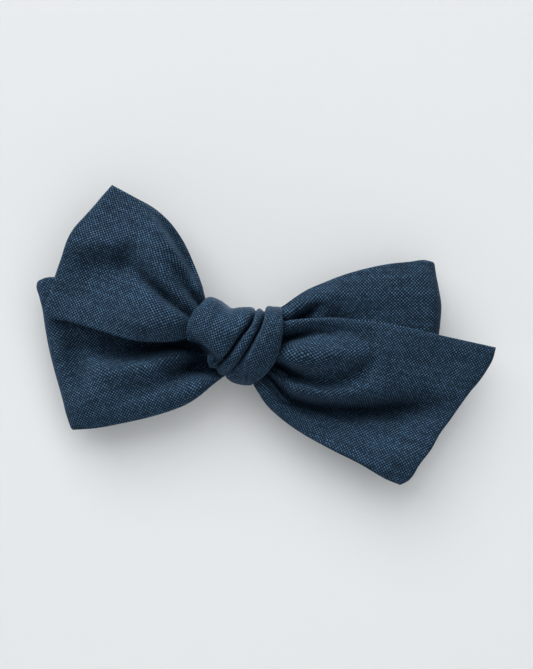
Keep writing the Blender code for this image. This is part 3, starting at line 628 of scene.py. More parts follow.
# ---- loops ---------------------------------------------------------------
# reach: nominal length from the knot.  fold: h of the far fold at its top and bottom.
# across: crosswise thread direction.  top, bottom, neck, end: (x, z) outlines of the front
# ply; the back ply has its own top and bottom.  front, back: (x, z, h) of the plies.
LOOP_LEFT = dict(
    seed=41, lean=8, reach=46.0, fold=(13.4, 13.4), across=(-0.222, 0.0, 0.975),
    top=[
        (-5, 3.8), (-11, 5.8), (-18.5, 8.8), (-28.5, 12.2), (-36, 14.2), (-42, 15.5),
        (-45, 16), (-47.2, 15.8), (-48.4, 15.2),
    ],
    bottom=[
        (-4.5, -4.2), (-2.5, -6.2), (-1.5, -8), (-3, -9.2), (-5.1, -10.8), (-7.8, -13.1),
        (-11.8, -15.8), (-16, -17.5), (-21, -19), (-28.5, -20.7), (-34.5, -21.8), (-40, -22.2),
    ],
    neck=[(-5, 3.8), (-4.8, -0.2), (-4.5, -4.2)],
    end=[
        (-48.4, 15.2), (-48.8, 13.8), (-48.2, 11.5), (-47.5, 8.2), (-47, 4.8), (-46, -1),
        (-44.5, -7.2), (-43, -12.5), (-41.5, -17.8), (-40, -22.2),
    ],
    back_top=[
        (-5, 3.8), (-11, 6.2), (-18.5, 9.2), (-28.5, 12.8), (-36, 14.8), (-42, 15.8),
        (-45, 16), (-47.2, 15.8), (-48.4, 15.2),
    ],
    back_bottom=[
        (-4.5, -4.2), (-4.5, -7.8), (-6.5, -10.2), (-9.5, -13.2), (-13.5, -15.5),
        (-17.5, -17.2), (-22, -18.5), (-29, -20), (-35, -21.2), (-40, -22.2),
    ],
    front=[
        (-5, 2.8, 15.4), (-4.8, -0.2, 16), (-4.5, -3.8, 15), (-13, -1.5, 15), (-21, -2.2, 15),
        (-31, -1.2, 15), (-41, 2.2, 15.8), (-21, 5.2, 14.8), (-36, 10.2, 15), (-43.5, 14, 15),
        (-8, -2.8, 15), (-11, -3.8, 16.6), (-14.5, -3.8, 19), (-18.5, -4.8, 19.7),
        (-23.5, -6, 19.2), (-28.5, -7.5, 18.5), (-33.5, -8.8, 18), (-37, -10.5, 17.2),
        (-7, -6.2, 14.6), (-11, -7.8, 16.6), (-15.5, -10.2, 17.4), (-2.5, -8.2, 15),
        (-5, -9.5, 16.4), (-7.8, -11.2, 17), (-11, -13.2, 17), (-17.2, -15.2, 16.6),
        (-23.5, -16.8, 16.4), (-31, -18.2, 16.2), (-37.2, -19.2, 15.4), (-40, -21.8, 14.2),
        (-34.5, -21.5, 14.6), (-21, -18.8, 15.2), (-12, -15.5, 15.6), (-5.5, -10.8, 15.6),
        (-21, -11.2, 17.2), (-27.2, -12.8, 17.4), (-33.5, -14.2, 17.4), (-42.5, -12.2, 15.8),
        (-44, -2.2, 16.4), (-45.5, 5.2, 15.8),
    ],
    back=[
        (-5, 2.8, 12), (-4.5, -3.8, 11.2), (-3, -7.8, 12), (-8.5, -5.2, 10.6),
        (-13.5, -2.2, 10.8), (-23.5, 0.2, 10.2), (-23.5, -12.2, 10.2), (-36, 2.8, 10),
        (-36, -14.8, 10.2), (-43.5, 10.2, 10.8), (-41, -19.8, 11.2), (-13.5, -12.8, 11.8),
        (-33.5, -4.8, 9.8),
    ],
    strokes=[
        # the long hollow from the knot to the far fold
        (1.8, [
            (-6, -1.2, -2.4, 1.2, 1.4), (-10.5, -1.2, -3.8, 1.4, 1.8), (-15.5, -1.6, -3.8, 1.6, 1.9),
            (-21.5, -2.5, -3.1, 2.1, 2.8), (-29, -2.9, -2.7, 2.9, 3.6), (-36.5, -1.5, -1.7, 3.5, 3.8),
            (-42.5, 1.2, -0.7, 3.4, 3.4), (-46, 4.2, 0, 3, 3),
        ]),
        # two hollows beside the knot, one down and one outward
        (1.8, [
            (-10.5, -1.2, -1.6, 2, 2.2), (-8.8, -3.5, -3.4, 2.8, 2.4), (-7.2, -5.8, -3.4, 2.8, 2.4),
            (-6, -7.5, -2, 1.8, 1.8),
        ]),
        (1.7, [
            (-4, -7.5, -1.4, 1, 1), (-6.8, -7.1, -2.8, 1.2, 1.4), (-10.5, -7, -3.6, 1.6, 2.2),
            (-14.5, -7.5, -3, 2.2, 2.8), (-18.5, -8.8, -1.2, 2.8, 3.2), (-22.5, -10.2, 0, 3.2, 3.4),
        ]),
        # the hollow down inside the far fold
        (2, [
            (-42, 1.2, -0.5, 3, 2.4), (-41, -2.2, -1.8, 2.8, 2.6), (-39.8, -6.8, -2, 2.8, 2.8),
            (-39, -11.2, -1.2, 3, 3), (-37.5, -15.2, 0, 3, 3),
        ]),
        # the ridge along the bottom edge
        (1.8, [
            (-4, -8.8, 0.2, 0.8, 0.8), (-7, -10.5, 0.8, 1.4, 1.4), (-11.5, -12.8, 0.9, 1.8, 2),
            (-17.5, -14.8, 0.5, 2.2, 2.6), (-24.5, -16.5, 0, 3, 3),
        ]),
        # a dip and a rise on the lower half
        (2, [
            (-21, -10.2, 0, 3, 3), (-24.5, -11.8, -0.8, 3, 3), (-29, -12.2, -0.6, 3, 3),
            (-33.5, -11.8, 0, 3, 3),
        ]),
        (2, [(-30.5, -6.2, 0.3, 3, 3), (-34.5, -7.8, 0.7, 3, 3), (-36, -10.8, 0.2, 3, 3)]),
    ],
    back_strokes=[
        (1.6, [
            (-5.5, 0.2, 1.6, 1.2, 1.2), (-13.5, 0.8, 1.4, 2, 2.4), (-21, 2.2, 0.8, 3, 3),
            (-31, 3.8, 0, 4, 4),
        ]),
        (1.6, [
            (-5.5, -2.8, 1.6, 1.2, 1.2), (-13.5, -5.2, 1.4, 2, 2.4), (-21, -7.2, 0.8, 3, 3),
            (-31, -9.8, 0, 4, 4),
        ]),
    ],
)
LOOP_RIGHT = dict(
    seed=57, lean=10, reach=50.0, fold=(13.4, 9.9), across=(0.02, 0.0, 1.0),
    top=[
        (5, 5.2), (8.5, 7), (12.5, 8.8), (14.5, 10.2), (18, 12.5), (22.5, 14.5), (27.5, 16.5),
        (33.5, 18.2), (38.5, 19.2), (44, 19.8), (48, 20.2), (49.5, 19.8),
    ],
    bottom=[
        (4, -2.2), (7.5, -4.8), (14, -8), (21.5, -11.2), (31.5, -14.5), (41.5, -16.5),
        (48, -17.8),
    ],
    neck=[(5, 5.2), (4.5, 1.2), (4, -2.2)],
    end=[
        (49.5, 19.8), (50, 16.2), (50.8, 12.8), (51.4, 9), (51.2, 5.2), (50.8, 1.8),
        (50, -3.5), (49, -9.8), (48.2, -14.8), (48, -17.8),
    ],
    back_top=[
        (5, 5.2), (8.5, 6.5), (13, 8), (15.5, 9.8), (19, 11.8), (23.5, 13.8), (28.5, 15.8),
        (34, 17.5), (39, 18.8), (44, 19.5), (47.5, 20), (49.5, 19.8),
    ],
    back_bottom=[
        (4, -2.2), (7.5, -4.5), (14, -7.8), (21.5, -10.8), (31.5, -14), (41.5, -16), (48, -17.8),
    ],
    front=[
        (5, 4.8, 16), (4.5, 1.2, 17), (4, -2.8, 15.6), (12.5, 8.5, 16.8), (18, 12.2, 16.6),
        (22.5, 14.2, 16.2), (27.5, 16.2, 15.8), (33.5, 18, 15.4), (38.5, 19, 15),
        (44, 19.5, 14.6), (49, 19.8, 14.2), (13, 7, 18.6), (16.5, 9, 19.6), (20.5, 10.8, 19.4),
        (25, 11.8, 18.8), (29, 11.2, 18.2), (36.5, 13.2, 17.5), (44, 14.8, 16.9),
        (49, 12.8, 16.2), (16.5, 2.8, 16.8), (24, 5.8, 17), (31.5, 6.5, 16.9),
        (41.5, 7.2, 16.5), (49, 6.5, 15.7), (16.5, -2.2, 15.4), (26.5, -2.2, 15.8),
        (36.5, -1, 15.9), (46.5, -2.2, 15), (41.5, -14.8, 10.6), (31.5, -12.8, 10.8),
        (26.5, -11.2, 11.4), (14, -7.2, 12.8), (26.5, -6.2, 13.2), (41.5, -8.2, 12.2),
        (48, -16.8, 10.8), (9, -5.2, 13.6),
    ],
    back=[
        (5, 4.8, 14.2), (4, -2.8, 14.2), (12.5, 2.8, 11.8), (21.5, 7.8, 10.6), (21.5, -7.2, 9.4),
        (34, 12.8, 10.2), (34, -12.2, 8.6), (46.5, 15.2, 11), (47.5, -14.8, 8.8), (34, 0.2, 9.4),
    ],
    strokes=[
        # the crease up and out of the knot
        (1.5, [
            (9.5, 2.5, -0.8, 1, 1), (12.5, 3.2, -1.3, 1.1, 1), (14.8, 4.2, -2.8, 1.2, 1),
            (16.8, 5.6, -3.6, 1.3, 1.1), (18.8, 7, -3, 1.4, 1.2), (20.8, 8.5, -1.5, 1.5, 1.5),
            (23, 10.5, 0, 1.8, 2.2),
        ]),
        # the ridge along the top edge
        (1.8, [
            (13, 8, 0.2, 1.4, 1.4), (16.5, 10.2, 0.5, 1.6, 1.8), (21.5, 12.5, 0.4, 1.8, 2.2),
            (27.8, 14.2, 0, 2, 2.4),
        ]),
        # a shallow dip beyond the crease
        (2, [
            (24, 8.8, 0, 3, 3), (29, 9.8, -0.45, 3.2, 3.2), (35.2, 9.8, -0.4, 3.2, 3.2),
            (41.5, 10.2, 0, 3, 3),
        ]),
    ],
    back_strokes=[
        (1.6, [
            (5.5, 2.8, 1.6, 1.2, 1.2), (14, 4.8, 1.4, 2, 2.4), (24, 8.8, 0.8, 3, 3),
            (34, 11.2, 0, 4, 4),
        ]),
        (1.6, [
            (5, -1.2, 1.6, 1.2, 1.2), (14, -4.2, 1.4, 2, 2.4), (24, -6.8, 0.8, 3, 3),
            (34, -8.8, 0, 4, 4),
        ]),
    ],
)
LOOP_ROWS = 110         # from the knot to the far fold's turn, on each ply
LOOP_COLUMNS = 116
LOOP_TURN = 3.2         # radius of the far fold
LEAST_GAP = 1.3         # between the middles of the two plies
ROW_EDGE_STEP = 0.5     # distance in from the neck that each row counts for


def make_loop(name, loop):
    reach, seed, lean = loop["reach"], loop["seed"], loop["lean"]
    turn_angles = np.linspace(0, math.pi / 2, 9)
    turn = [1 - LOOP_TURN / reach * (1 - math.cos(a)) for a in turn_angles]
    outward = list(np.linspace(0, turn[-1], LOOP_ROWS) ** 0.95) + turn[::-1][1:]
    u = np.array(outward + outward[::-1][1:])
    v = shares(LOOP_COLUMNS, EDGE_SHARES)
    row = np.arange(len(u))[:, None]
    front = row < len(outward)

    neck, end = loop["neck"], loop["end"]
    front_xz = coons(loop["top"], loop["bottom"], neck, end, u, v)
    back_xz = coons(loop["back_top"], loop["back_bottom"], neck, end, u, v)
    xz = np.where(front[..., None], front_xz, back_xz)
    x, z = xz[..., 0], xz[..., 1]
    front_h, back_h = plate_height(loop["front"], x, z), plate_height(loop["back"], x, z)
    opening = round_turn((1 - u) * reach, LOOP_TURN)[:, None]
    far_h = np.interp(v, [0, 1], loop["fold"])[None]

    def surface(front_h, back_h):
        return place(x, z, far_h + (np.where(front, front_h, back_h) - far_h) * opening)

    def unevenness(ruffle_seed, gather_seed):
        fan = gathers(u[:, None] * reach, v[None], gather_seed, amount=1.0)
        return ruffle(x, z, ruffle_seed, lean, amount=0.32) + fan

    out = face_front(normals(surface(front_h, back_h)), slice(0, len(u) // 3))
    fold = fold_height(x, z, loop["strokes"])
    front_h = front_h + fold + unevenness(seed, seed + 7)
    back_h = back_h + fold_height(x, z, loop["back_strokes"]) + unevenness(seed + 5, seed + 9)
    # A pressed-in front rests on the back.
    gap = front_h - back_h
    front_h = back_h + 0.5 * (gap + LEAST_GAP + np.sqrt((gap - LEAST_GAP) ** 2 + 0.25))
    mid = surface(front_h, back_h)
    distance = np.minimum(side_distance(mid), np.minimum(row, row[::-1]) * ROW_EDGE_STEP)
    half = edge_profile(distance, rim=0.62)
    threads = thread_coordinates(mid, np.array(loop["across"]), rounds=400)
    # Painted shade in the front ply's creases, fading out towards the far fold.
    painted_shade = np.where(front, painted_crease_shade(fold) * opening, 0)
    obj = cloth_tube(f"{name}_cloth", cad_layers(name), mid, out, half, threads, painted_shade)
    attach(obj, "bow")
    return obj


# ---- knot ----------------------------------------------------------------
KNOT_HEIGHT = 17.4      # h of the knot's middle
# top, bottom, left, right: (x, z) outlines of the band as seen from the front.
KNOT = dict(
    top=[
        (-7.5, 10.5), (-6.5, 11), (-5, 10.9), (-3.4, 10.2), (-1.9, 9.2), (-0.6, 8.7),
        (1.3, 8.5), (4.9, 8.5), (7.2, 8.3), (8.8, 8.7), (10, 8.5), (11.2, 8.5), (12.3, 8.2),
    ],
    bottom=[
        (-4.5, -8.4), (-3.5, -8.8), (-2.6, -9), (-1.9, -9.5), (-0.3, -10.5), (1.3, -10.9),
        (3, -11), (4.4, -10.9), (5.2, -10.5),
    ],
    left=[
        (-7.5, 10.5), (-9.2, 8.8), (-11.2, 6.6), (-12.4, 3.7), (-12.9, 1), (-12.4, -0.7),
        (-10, -2.6), (-7.8, -5), (-6, -7.1), (-4.5, -8.4),
    ],
    right=[
        (12.3, 8.2), (12.6, 4.8), (12.5, 1.7), (12, -1.1), (11.2, -4), (10.4, -5.8),
        (9.2, -7.4), (7.2, -9.4), (5.2, -10.5),
    ],
    strokes=[
        # two sharp creases between the pleats, from the top down to the left
        (1.2, [
            (6, 10.2, -0.6, 0.4, 0.5), (5.5, 8.1, -1.1, 0.36, 0.5), (5, 6.8, -2.2, 0.32, 0.6),
            (4.3, 4.8, -2.7, 0.32, 0.6), (3.1, 2.9, -2.8, 0.32, 0.6), (1.5, 0.5, -2.8, 0.34, 0.6),
            (0.1, -1.5, -2.7, 0.36, 0.6), (-1.5, -4, -2.5, 0.38, 0.6), (-3.2, -5.6, -2, 0.4, 0.6),
            (-4.6, -6.8, -1.7, 0.4, 0.6), (-6.2, -8.2, -1.2, 0.5, 0.6),
        ]),
        (1.2, [
            (7.6, 10.2, -0.7, 0.4, 0.5), (7.4, 8.2, -1.1, 0.36, 0.5), (7.3, 7, -2, 0.32, 0.55),
            (7, 4.8, -2.5, 0.32, 0.55), (5.9, 1.7, -2.5, 0.32, 0.55), (4.5, -0.9, -2.5, 0.34, 0.55),
            (2.9, -3.7, -2.3, 0.36, 0.55), (1.3, -6, -1.7, 0.4, 0.6), (-0.3, -7.6, -1.2, 0.4, 0.6),
            (-1.9, -8.6, -0.7, 0.5, 0.6), (-3, -9.5, -0.2, 0.5, 0.5),
        ]),
        # the left lobe's fullness and the right pleat's
        (2, [(-3, 7.2, 0, 5, 5), (-4.5, 3.2, 0.6, 5, 5), (-5, -0.8, 0.4, 5, 5), (-5, -3.8, 0, 4, 4)]),
        (2, [
            (10, 7.2, 0.2, 2.4, 2), (9.5, 2.8, 0.7, 2.6, 2.4), (7.5, -2.2, 0.8, 2.8, 2.8),
            (4.5, -6.8, 0.5, 2.6, 2.6), (2.5, -9.8, 0.1, 2, 2),
        ]),
        # the lobe's lower left turns under
        (2, [
            (-14.5, 3.8, -0.5, 3, 2), (-12.5, 0.8, -1.3, 3, 2.2), (-10, -2.2, -1.9, 3, 2.4),
            (-7.5, -5, -1.9, 2.6, 2.4), (-5.2, -7, -0.9, 2, 2),
        ]),
        # faint drag lines on the left lobe
        (1.8, [(-0.5, 8.2, -0.5, 1.2, 1.2), (0.5, 5.8, -0.3, 1.6, 1.6), (0.5, 2.8, 0, 2, 2)]),
        (1.6, [(-7, -6.2, -0.4, 0.8, 0.8), (-5.8, -5.2, -0.35, 0.8, 0.8), (-4.2, -4.2, 0, 0.8, 0.8)]),
    ],
)
KNOT_STEPS_AROUND = 220
KNOT_STEPS_ACROSS = 150
KNOT_EDGE_SHARES = (0.0, 0.002, 0.008, 0.018, 0.032, 0.050, 0.072, 0.10)
KNOT_HALF = 0.8         # half the band's thickness
KNOT_EDGE_TURN = 1.1
KNOT_THREAD_SCALE = 1.10
KNOT_SLANT = 27         # degrees the threads slant at the front


def make_knot():
    u = shares(KNOT_STEPS_ACROSS, KNOT_EDGE_SHARES)
    # The angle around is 0 at the front; the join is at the back.
    around = np.linspace(-math.pi, math.pi, KNOT_STEPS_AROUND + 1)
    c, s = np.cos(around), np.sin(around)
    power = np.where(s > 0, 3.0, 1.85)      # fuller above, sloping away below
    radius = (np.abs(c) ** power + np.abs(s) ** power) ** (-1 / power)
    v = np.clip((1 - s * radius) / 2, 0, 1)
    sides = (KNOT[side] for side in ("top", "bottom", "left", "right"))
    xz = coons(*sides, u, v).transpose(1, 0, 2)
    x, z = xz[..., 0], xz[..., 1]
    c, s, radius = c[:, None], s[:, None], radius[:, None]
    in_front = c > 0
    reach = np.where(in_front, 9.2, 8.3)
    belly = np.sin(np.pi * u)[None] ** 0.6
    lift = np.where(in_front, 0.74 + 0.26 * belly, 0.90 + 0.10 * belly)
    lean = np.minimum(1 + 0.32 * s * in_front, 1.12)
    outer = place(x, z, KNOT_HEIGHT + c * radius * reach * lift * lean)
    out = face_front(normals(outer, closed=True), KNOT_STEPS_AROUND // 2)

    facing = np.clip((c * radius + 0.8) / 0.4, 0, 1)
    rise = fold_height(x, z, KNOT["strokes"], blunt=0.06) * facing
    rise = rise + ruffle(x + 3 * s, z * 0.8 + 4 * c, seed=71, lean=60, amount=0.22)
    mid = outer + out * (rise - KNOT_HALF)[..., None]
    half = KNOT_HALF * round_turn(side_distance(mid), KNOT_EDGE_TURN)
    slant = np.radians(KNOT_SLANT * c)
    across = np.stack([np.cos(slant), 0 * slant, -np.sin(slant)], axis=2)
    threads = thread_coordinates(mid, across, rounds=400, closed=True) * KNOT_THREAD_SCALE
    # Painted shade: darker in the creases, and a little darker over the knot's underside.
    underside_shade = 0.16 * np.clip(-s * radius - 0.2, 0, 1)
    painted_shade = np.clip((-rise - 0.5) / 1.3, underside_shade, 1)
    name = "knot_wrap_pleated"
    obj = cloth_tube(name, ["knot_wrap"], mid, out, half, threads, painted_shade, closed=True)
    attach(obj, "bow")
    return obj


WAIST_HALF_WIDTH = 6.6
WAIST_DEPTH_RADIUS = 5.7
WAIST_HEIGHT_RADIUS = 7.0
WAIST_PLEATS = 9
WAIST_BORE = 0.55       # inner size as a share of the outer
WAIST_THREAD_RADIUS = 6.3


def make_waist():
    """The gathered sash inside the wrap: a barrel of narrow pleats."""
    around = np.linspace(0, 2 * math.pi, 121)[:, None]
    w = np.linspace(-1, 1, 25)[None]
    pinch = 1 - 0.10 * w**2
    wave = np.cos(WAIST_PLEATS * around + 0.8 * np.sin(2 * around))
    pleat = 1 + 0.055 * wave * (0.6 + 0.4 * np.abs(w))
    y = -(KNOT_HEIGHT + WAIST_DEPTH_RADIUS * np.cos(around) * pinch * pleat)
    z = WAIST_HEIGHT_RADIUS * np.sin(around) * pinch * pleat
    x = WAIST_HALF_WIDTH * w + 0 * z
    outer = np.stack([x, y, z], axis=2)
    axis = np.array([0.0, -KNOT_HEIGHT, 0.0])
    inner = axis + (outer - axis) * (1.0, WAIST_BORE, WAIST_BORE)
    wall = outer - inner
    half = np.linalg.norm(wall, axis=2) / 2
    threads = np.stack([x, around * WAIST_THREAD_RADIUS + 0 * z], axis=2)
    obj = cloth_tube(
        "knot_gathers", ["knot_gathered_waist"], (outer + inner) / 2, unit(wall), half,
        threads, 0 * half, closed=True,
    )
    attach(obj, "bow")
    return obj


# ---- spring --------------------------------------------------------------
WIRE_RADIUS = 0.35
COIL_RADIUS = 1.75
COIL_TURNS = 3.5
COIL_X, COIL_H = 12.0, 3.6      # the rivet's axis
COIL_HALF_LENGTH = 1.6
ARM_FRONT, ARM_SHEET, ARM_GAP = 6.8, 0.4, 0.06
TAB_X, TAB_H, TAB_GAP = 14.7, 0.8, 0.08
TAB_TILT = math.radians(25)


def spring_path():
    leg = ARM_FRONT - ARM_SHEET - WIRE_RADIUS - ARM_GAP
    path = [(x, leg - drop, -COIL_HALF_LENGTH) for x, drop in ((22, 0), (18.5, 0.23), (15, 0.46))]
    for share in np.linspace(0, 1, 170):
        a = math.pi * (0.5 + 2 * COIL_TURNS * share)
        x, h = COIL_X + COIL_RADIUS * math.cos(a), COIL_H + COIL_RADIUS * math.sin(a)
        path.append((x, h, -COIL_HALF_LENGTH + 2 * COIL_HALF_LENGTH * share))
    bend_x = TAB_X + math.sin(TAB_TILT) * (WIRE_RADIUS + TAB_GAP)
    bend_h = TAB_H + math.cos(TAB_TILT) * (WIRE_RADIUS + TAB_GAP)
    slope = math.tan(TAB_TILT)
    for ahead, drop in ((-0.9, -0.16), (0.2, 0.07), (3.6, 3.6 * slope), (7.2, 7.2 * slope)):
        path.append((bend_x + ahead, bend_h - drop, COIL_HALF_LENGTH))
    return np.array([(x, -h, z) for x, h, z in path])


def make_spring():
    """The clip's torsion spring: three and a half turns round the rivet.

    One leg lies under the glued arm and one on the finger tab.
    """
    path = spring_path()
    run = run_along(path)
    even = np.linspace(0, run[-1], int(run[-1] / 0.12))
    path = np.stack([np.interp(even, run, path[:, i]) for i in range(3)], axis=1)
    for _ in range(6):
        path[1:-1] = 0.25 * path[:-2] + 0.5 * path[1:-1] + 0.25 * path[2:]
    ahead = unit(np.gradient(path, axis=0))
    side = np.zeros_like(path)
    side[0] = unit(np.cross(ahead[0], (0.0, 0.0, 1.0)))
    for i in range(1, len(path)):
        side[i] = unit(side[i - 1] - ahead[i] * (side[i - 1] @ ahead[i]))
    up = np.cross(ahead, side)
    # The cut ends are a little rounded.
    from_end = np.minimum(even, even[-1] - even)
    radius = WIRE_RADIUS * np.sqrt(1 - 0.45 * np.clip(1 - from_end / 0.2, 0, 1) ** 2)
    a = np.linspace(0, 2 * math.pi, 20, endpoint=False)[None, :, None]
    ring = side[:, None] * np.cos(a) + up[:, None] * np.sin(a)
    verts = (path[:, None] + ring * radius[:, None, None]).reshape(-1, 3)
    m, k = len(path), a.size
    faces = [
        (i * k + j, i * k + (j + 1) % k, (i + 1) * k + (j + 1) % k, (i + 1) * k + j)
        for i in range(m - 1)
        for j in range(k)
    ]
    faces += [tuple(range(k))[::-1], tuple((m - 1) * k + j for j in range(k))]
    obj = smooth_object("clip_spring_wire", verts, faces)
    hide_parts("clip_torsion_spring")
    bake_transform(obj)
    return obj


# ---- building node trees -------------------------------------------------
class Value:
    """A node's output, ready for arithmetic."""

    def __init__(self, graph, socket):
        self.graph = graph
        self.socket = socket

    def math(self, operation, other=0.0):
        return self.graph.math(operation, self, other)

    __add__ = partialmethod(math, "ADD")
    __sub__ = partialmethod(math, "SUBTRACT")
    __mul__ = partialmethod(math, "MULTIPLY")
    __truediv__ = partialmethod(math, "DIVIDE")
    __pow__ = partialmethod(math, "POWER")

    def __rsub__(self, other):
        return self.graph.math("SUBTRACT", other, self)


class Graph:
    """Short names for building the node tree of a material or world."""

    def __init__(self, owner):
        owner.use_nodes = True
        self.owner = owner
        self.tree = owner.node_tree

    def put(self, socket, value):
        if isinstance(value, Value):
            self.tree.links.new(value.socket, socket)
        else:
            socket.default_value = value

    def node(self, kind, inputs={}, **settings):
        node = self.tree.nodes.new("ShaderNode" + kind)
        for key, value in settings.items():
            setattr(node, key, value)
        for key, value in inputs.items():
            self.put(node.inputs[key], value)
        return node

    def value(self, kind, output=0, inputs={}, **settings):
        return Value(self, self.node(kind, inputs, **settings).outputs[output])

    def math(self, operation, a, b):
        return self.value("Math", inputs={0: a, 1: b}, operation=operation)

    def noise(self, vector, scale=1.0, detail=2.0, roughness=0.5):
        inputs = {"Vector": vector, "Scale": scale, "Detail": detail, "Roughness": roughness}
        return self.value("TexNoise", "Fac", inputs)

    def white(self, a, b=None):
        """A random value for each a, or for each pair."""
        if b is None:
            return self.value("TexWhiteNoise", "Value", {"W": a}, noise_dimensions="1D")
        inputs = {"Vector": self.combine(a, b)}
        return self.value("TexWhiteNoise", "Value", inputs, noise_dimensions="2D")

    def combine(self, x, y, z=0.0):
        return self.value("CombineXYZ", inputs={0: x, 1: y, 2: z})

    def split(self, vector):
        return [Value(self, socket) for socket in self.node("SeparateXYZ", {0: vector}).outputs]

    def place(self):
        return self.value("TexCoord", "Object")

    def wave(self, along, pitch):
        return (along * (2 * math.pi / pitch)).math("SINE")

    def mix(self, share, a, b):
        a, b = (colour if isinstance(colour, Value) else (*colour, 1.0) for colour in (a, b))
        return self.value("Mix", 2, {"Factor": share, 6: a, 7: b}, data_type="RGBA")

    def scaled(self, colour, by):
        return self.value("VectorMath", inputs={0: colour, "Scale": by}, operation="SCALE")

    def ramp(self, value, span, to=(0.0, 1.0)):
        """Maps the span onto another, and holds the ends."""
        inputs = {"Value": value, "From Min": span[0], "From Max": span[1]}
        return self.value("MapRange", inputs={**inputs, "To Min": to[0], "To Max": to[1]})

    def bump(self, height, distance, strength, normal=None):
        inputs = {"Height": height, "Distance": distance, "Strength": strength}
        if normal is not None:
            inputs["Normal"] = normal
        return self.value("Bump", inputs=inputs)

    def finish(self, **inputs):
        """Sets the surface shader's inputs and gives the material."""
        for key, value in inputs.items():
            self.put(self.tree.nodes["Principled BSDF"].inputs[key.replace("_", " ")], value)
        return self.owner


def new_material(name):
    return Graph(bpy.data.materials.new(name))


# ---- materials -----------------------------------------------------------
THREAD_PITCH = 0.41     # millimetres, as the threads map is


def chambray():
    """Plain weave of a dark warp and a lighter weft, each thread a little uneven."""
    graph = new_material("navy_chambray")
    x, y, _ = graph.split(graph.value("UVMap", uv_map="threads"))
    wobble = (graph.noise(graph.combine(x * 0.35, y * 0.35)) - 0.5) * 0.9
    warp_at = x / THREAD_PITCH + wobble
    weft_at = y / THREAD_PITCH + wobble
    warp_number, weft_number = warp_at.math("FLOOR"), weft_at.math("FLOOR")
    hump_x = (warp_at.math("FRACT") * math.pi).math("SINE")
    hump_y = (weft_at.math("FRACT") * math.pi).math("SINE")
    odd = (warp_number + weft_number).math("ABSOLUTE").math("MODULO", 2.0)
    # The thread on top is round across and arches along; the gaps between threads are low.
    over_x = hump_x**0.6 * (hump_y * 0.55 + 0.45)
    over_y = hump_y**0.6 * (hump_x * 0.55 + 0.45)
    height = over_x * odd + over_y * (1.0 - odd)
    # Each thread has its own shade, and each crossing of the weft too.
    warp = graph.white(warp_number + 0.5) * 0.45 + 0.78
    weft = graph.white(weft_number + 77.5) * 0.40 + 0.80
    weft = weft * (graph.white(warp_number + 0.5, weft_number + 0.5) * 0.8 + 0.62)
    dark = graph.scaled((0.0031, 0.0078, 0.0178), warp)
    light = graph.scaled((0.0340, 0.0755, 0.1290), weft)
    colour = graph.mix(odd, dark, light)
    # Painted shade at the weave's scale: the threads' tops are lighter and the gaps between them
    # darker.
    colour = graph.scaled(colour, graph.ramp(height, (0.0, 0.9), to=(0.20, 1.18)))
    # Wear and wash: paler and darker patches, with a few streaks along the threads.
    cloud = graph.noise(graph.place(), scale=130.0, detail=4.0, roughness=0.6)
    colour = graph.scaled(colour, graph.ramp(cloud, (0.25, 0.75), to=(0.84, 1.16)))
    streak = graph.noise(graph.combine(x * 0.16, y * 1.6), detail=3.0)
    colour = graph.scaled(colour, graph.ramp(streak, (0.3, 0.7), to=(0.96, 1.04)))
    # Painted shade: creases, and the knot's underside, are darkened and dulled.
    painted_shade = graph.value("Attribute", "Fac", attribute_name="painted_shade")
    colour = graph.scaled(colour, graph.ramp(painted_shade, (0.0, 1.0), to=(1.0, 0.31)))
    # Specks of pale lint caught in the weave.
    lint = graph.noise(graph.combine(x * 1.1, y * 2.6), detail=5.0, roughness=0.7)
    lint = graph.ramp(lint, (0.735, 0.80), to=(0.0, 0.55))
    colour = graph.mix(lint, colour, (0.16, 0.21, 0.27))
    normal = graph.bump(height, distance=0.00009, strength=0.75)
    fuzz = graph.noise(graph.place(), scale=5200.0, detail=3.0, roughness=0.7)
    return graph.finish(
        Base_Color=colour,
        Roughness=graph.ramp(height, (0.0, 1.0), to=(0.98, 0.82)),
        Normal=graph.bump(fuzz, distance=0.00003, strength=0.5, normal=normal),
        # Painted shade also takes most of the sheen and gloss out of the creases.
        Sheen_Weight=graph.ramp(painted_shade, (0.0, 1.0), to=(0.14, 0.02)),
        Sheen_Roughness=0.45,
        Sheen_Tint=(0.36, 0.60, 0.95, 1.0),
        Specular_IOR_Level=graph.ramp(painted_shade, (0.0, 1.0), to=(0.10, 0.02)),
    )


def plated_steel():
    """Nickel plate over stamped sheet: fine handling scratches and duller patches."""
    graph = new_material("nickel_plated_steel")
    at = graph.place()
    x, y, z = graph.split(at)
    scratches = graph.combine(x * 40.0, y * 900.0, z * 2600.0)
    grain = graph.noise(scratches, detail=3.0, roughness=0.6)
    patch = graph.noise(at, scale=260.0, detail=3.0, roughness=0.6)
    pits = graph.noise(at, scale=2600.0)
    dullness = graph.ramp(patch, (0.35, 0.75), to=(-0.02, 0.12))
    tone = graph.ramp(patch, (0.3, 0.8))
    return graph.finish(
        Base_Color=graph.mix(tone, (0.66, 0.65, 0.62), (0.52, 0.51, 0.49)),
        Metallic=1.0,
        Roughness=graph.ramp(grain, (0.3, 0.7), to=(0.16, 0.30)) + dullness,
        Normal=graph.bump(grain + pits * 0.3, distance=0.000012, strength=0.5),
    )


def spring_wire():
    graph = new_material("spring_wire")
    draw = graph.noise(graph.place(), scale=1500.0, detail=3.0, roughness=0.6)
    tone = graph.ramp(draw, (0.3, 0.7))
    return graph.finish(
        Base_Color=graph.mix(tone, (0.55, 0.54, 0.52), (0.40, 0.39, 0.38)),
        Metallic=1.0,
        Roughness=graph.ramp(draw, (0.3, 0.7), to=(0.2, 0.38)),
        Normal=graph.bump(draw, distance=0.00001, strength=0.4),
    )


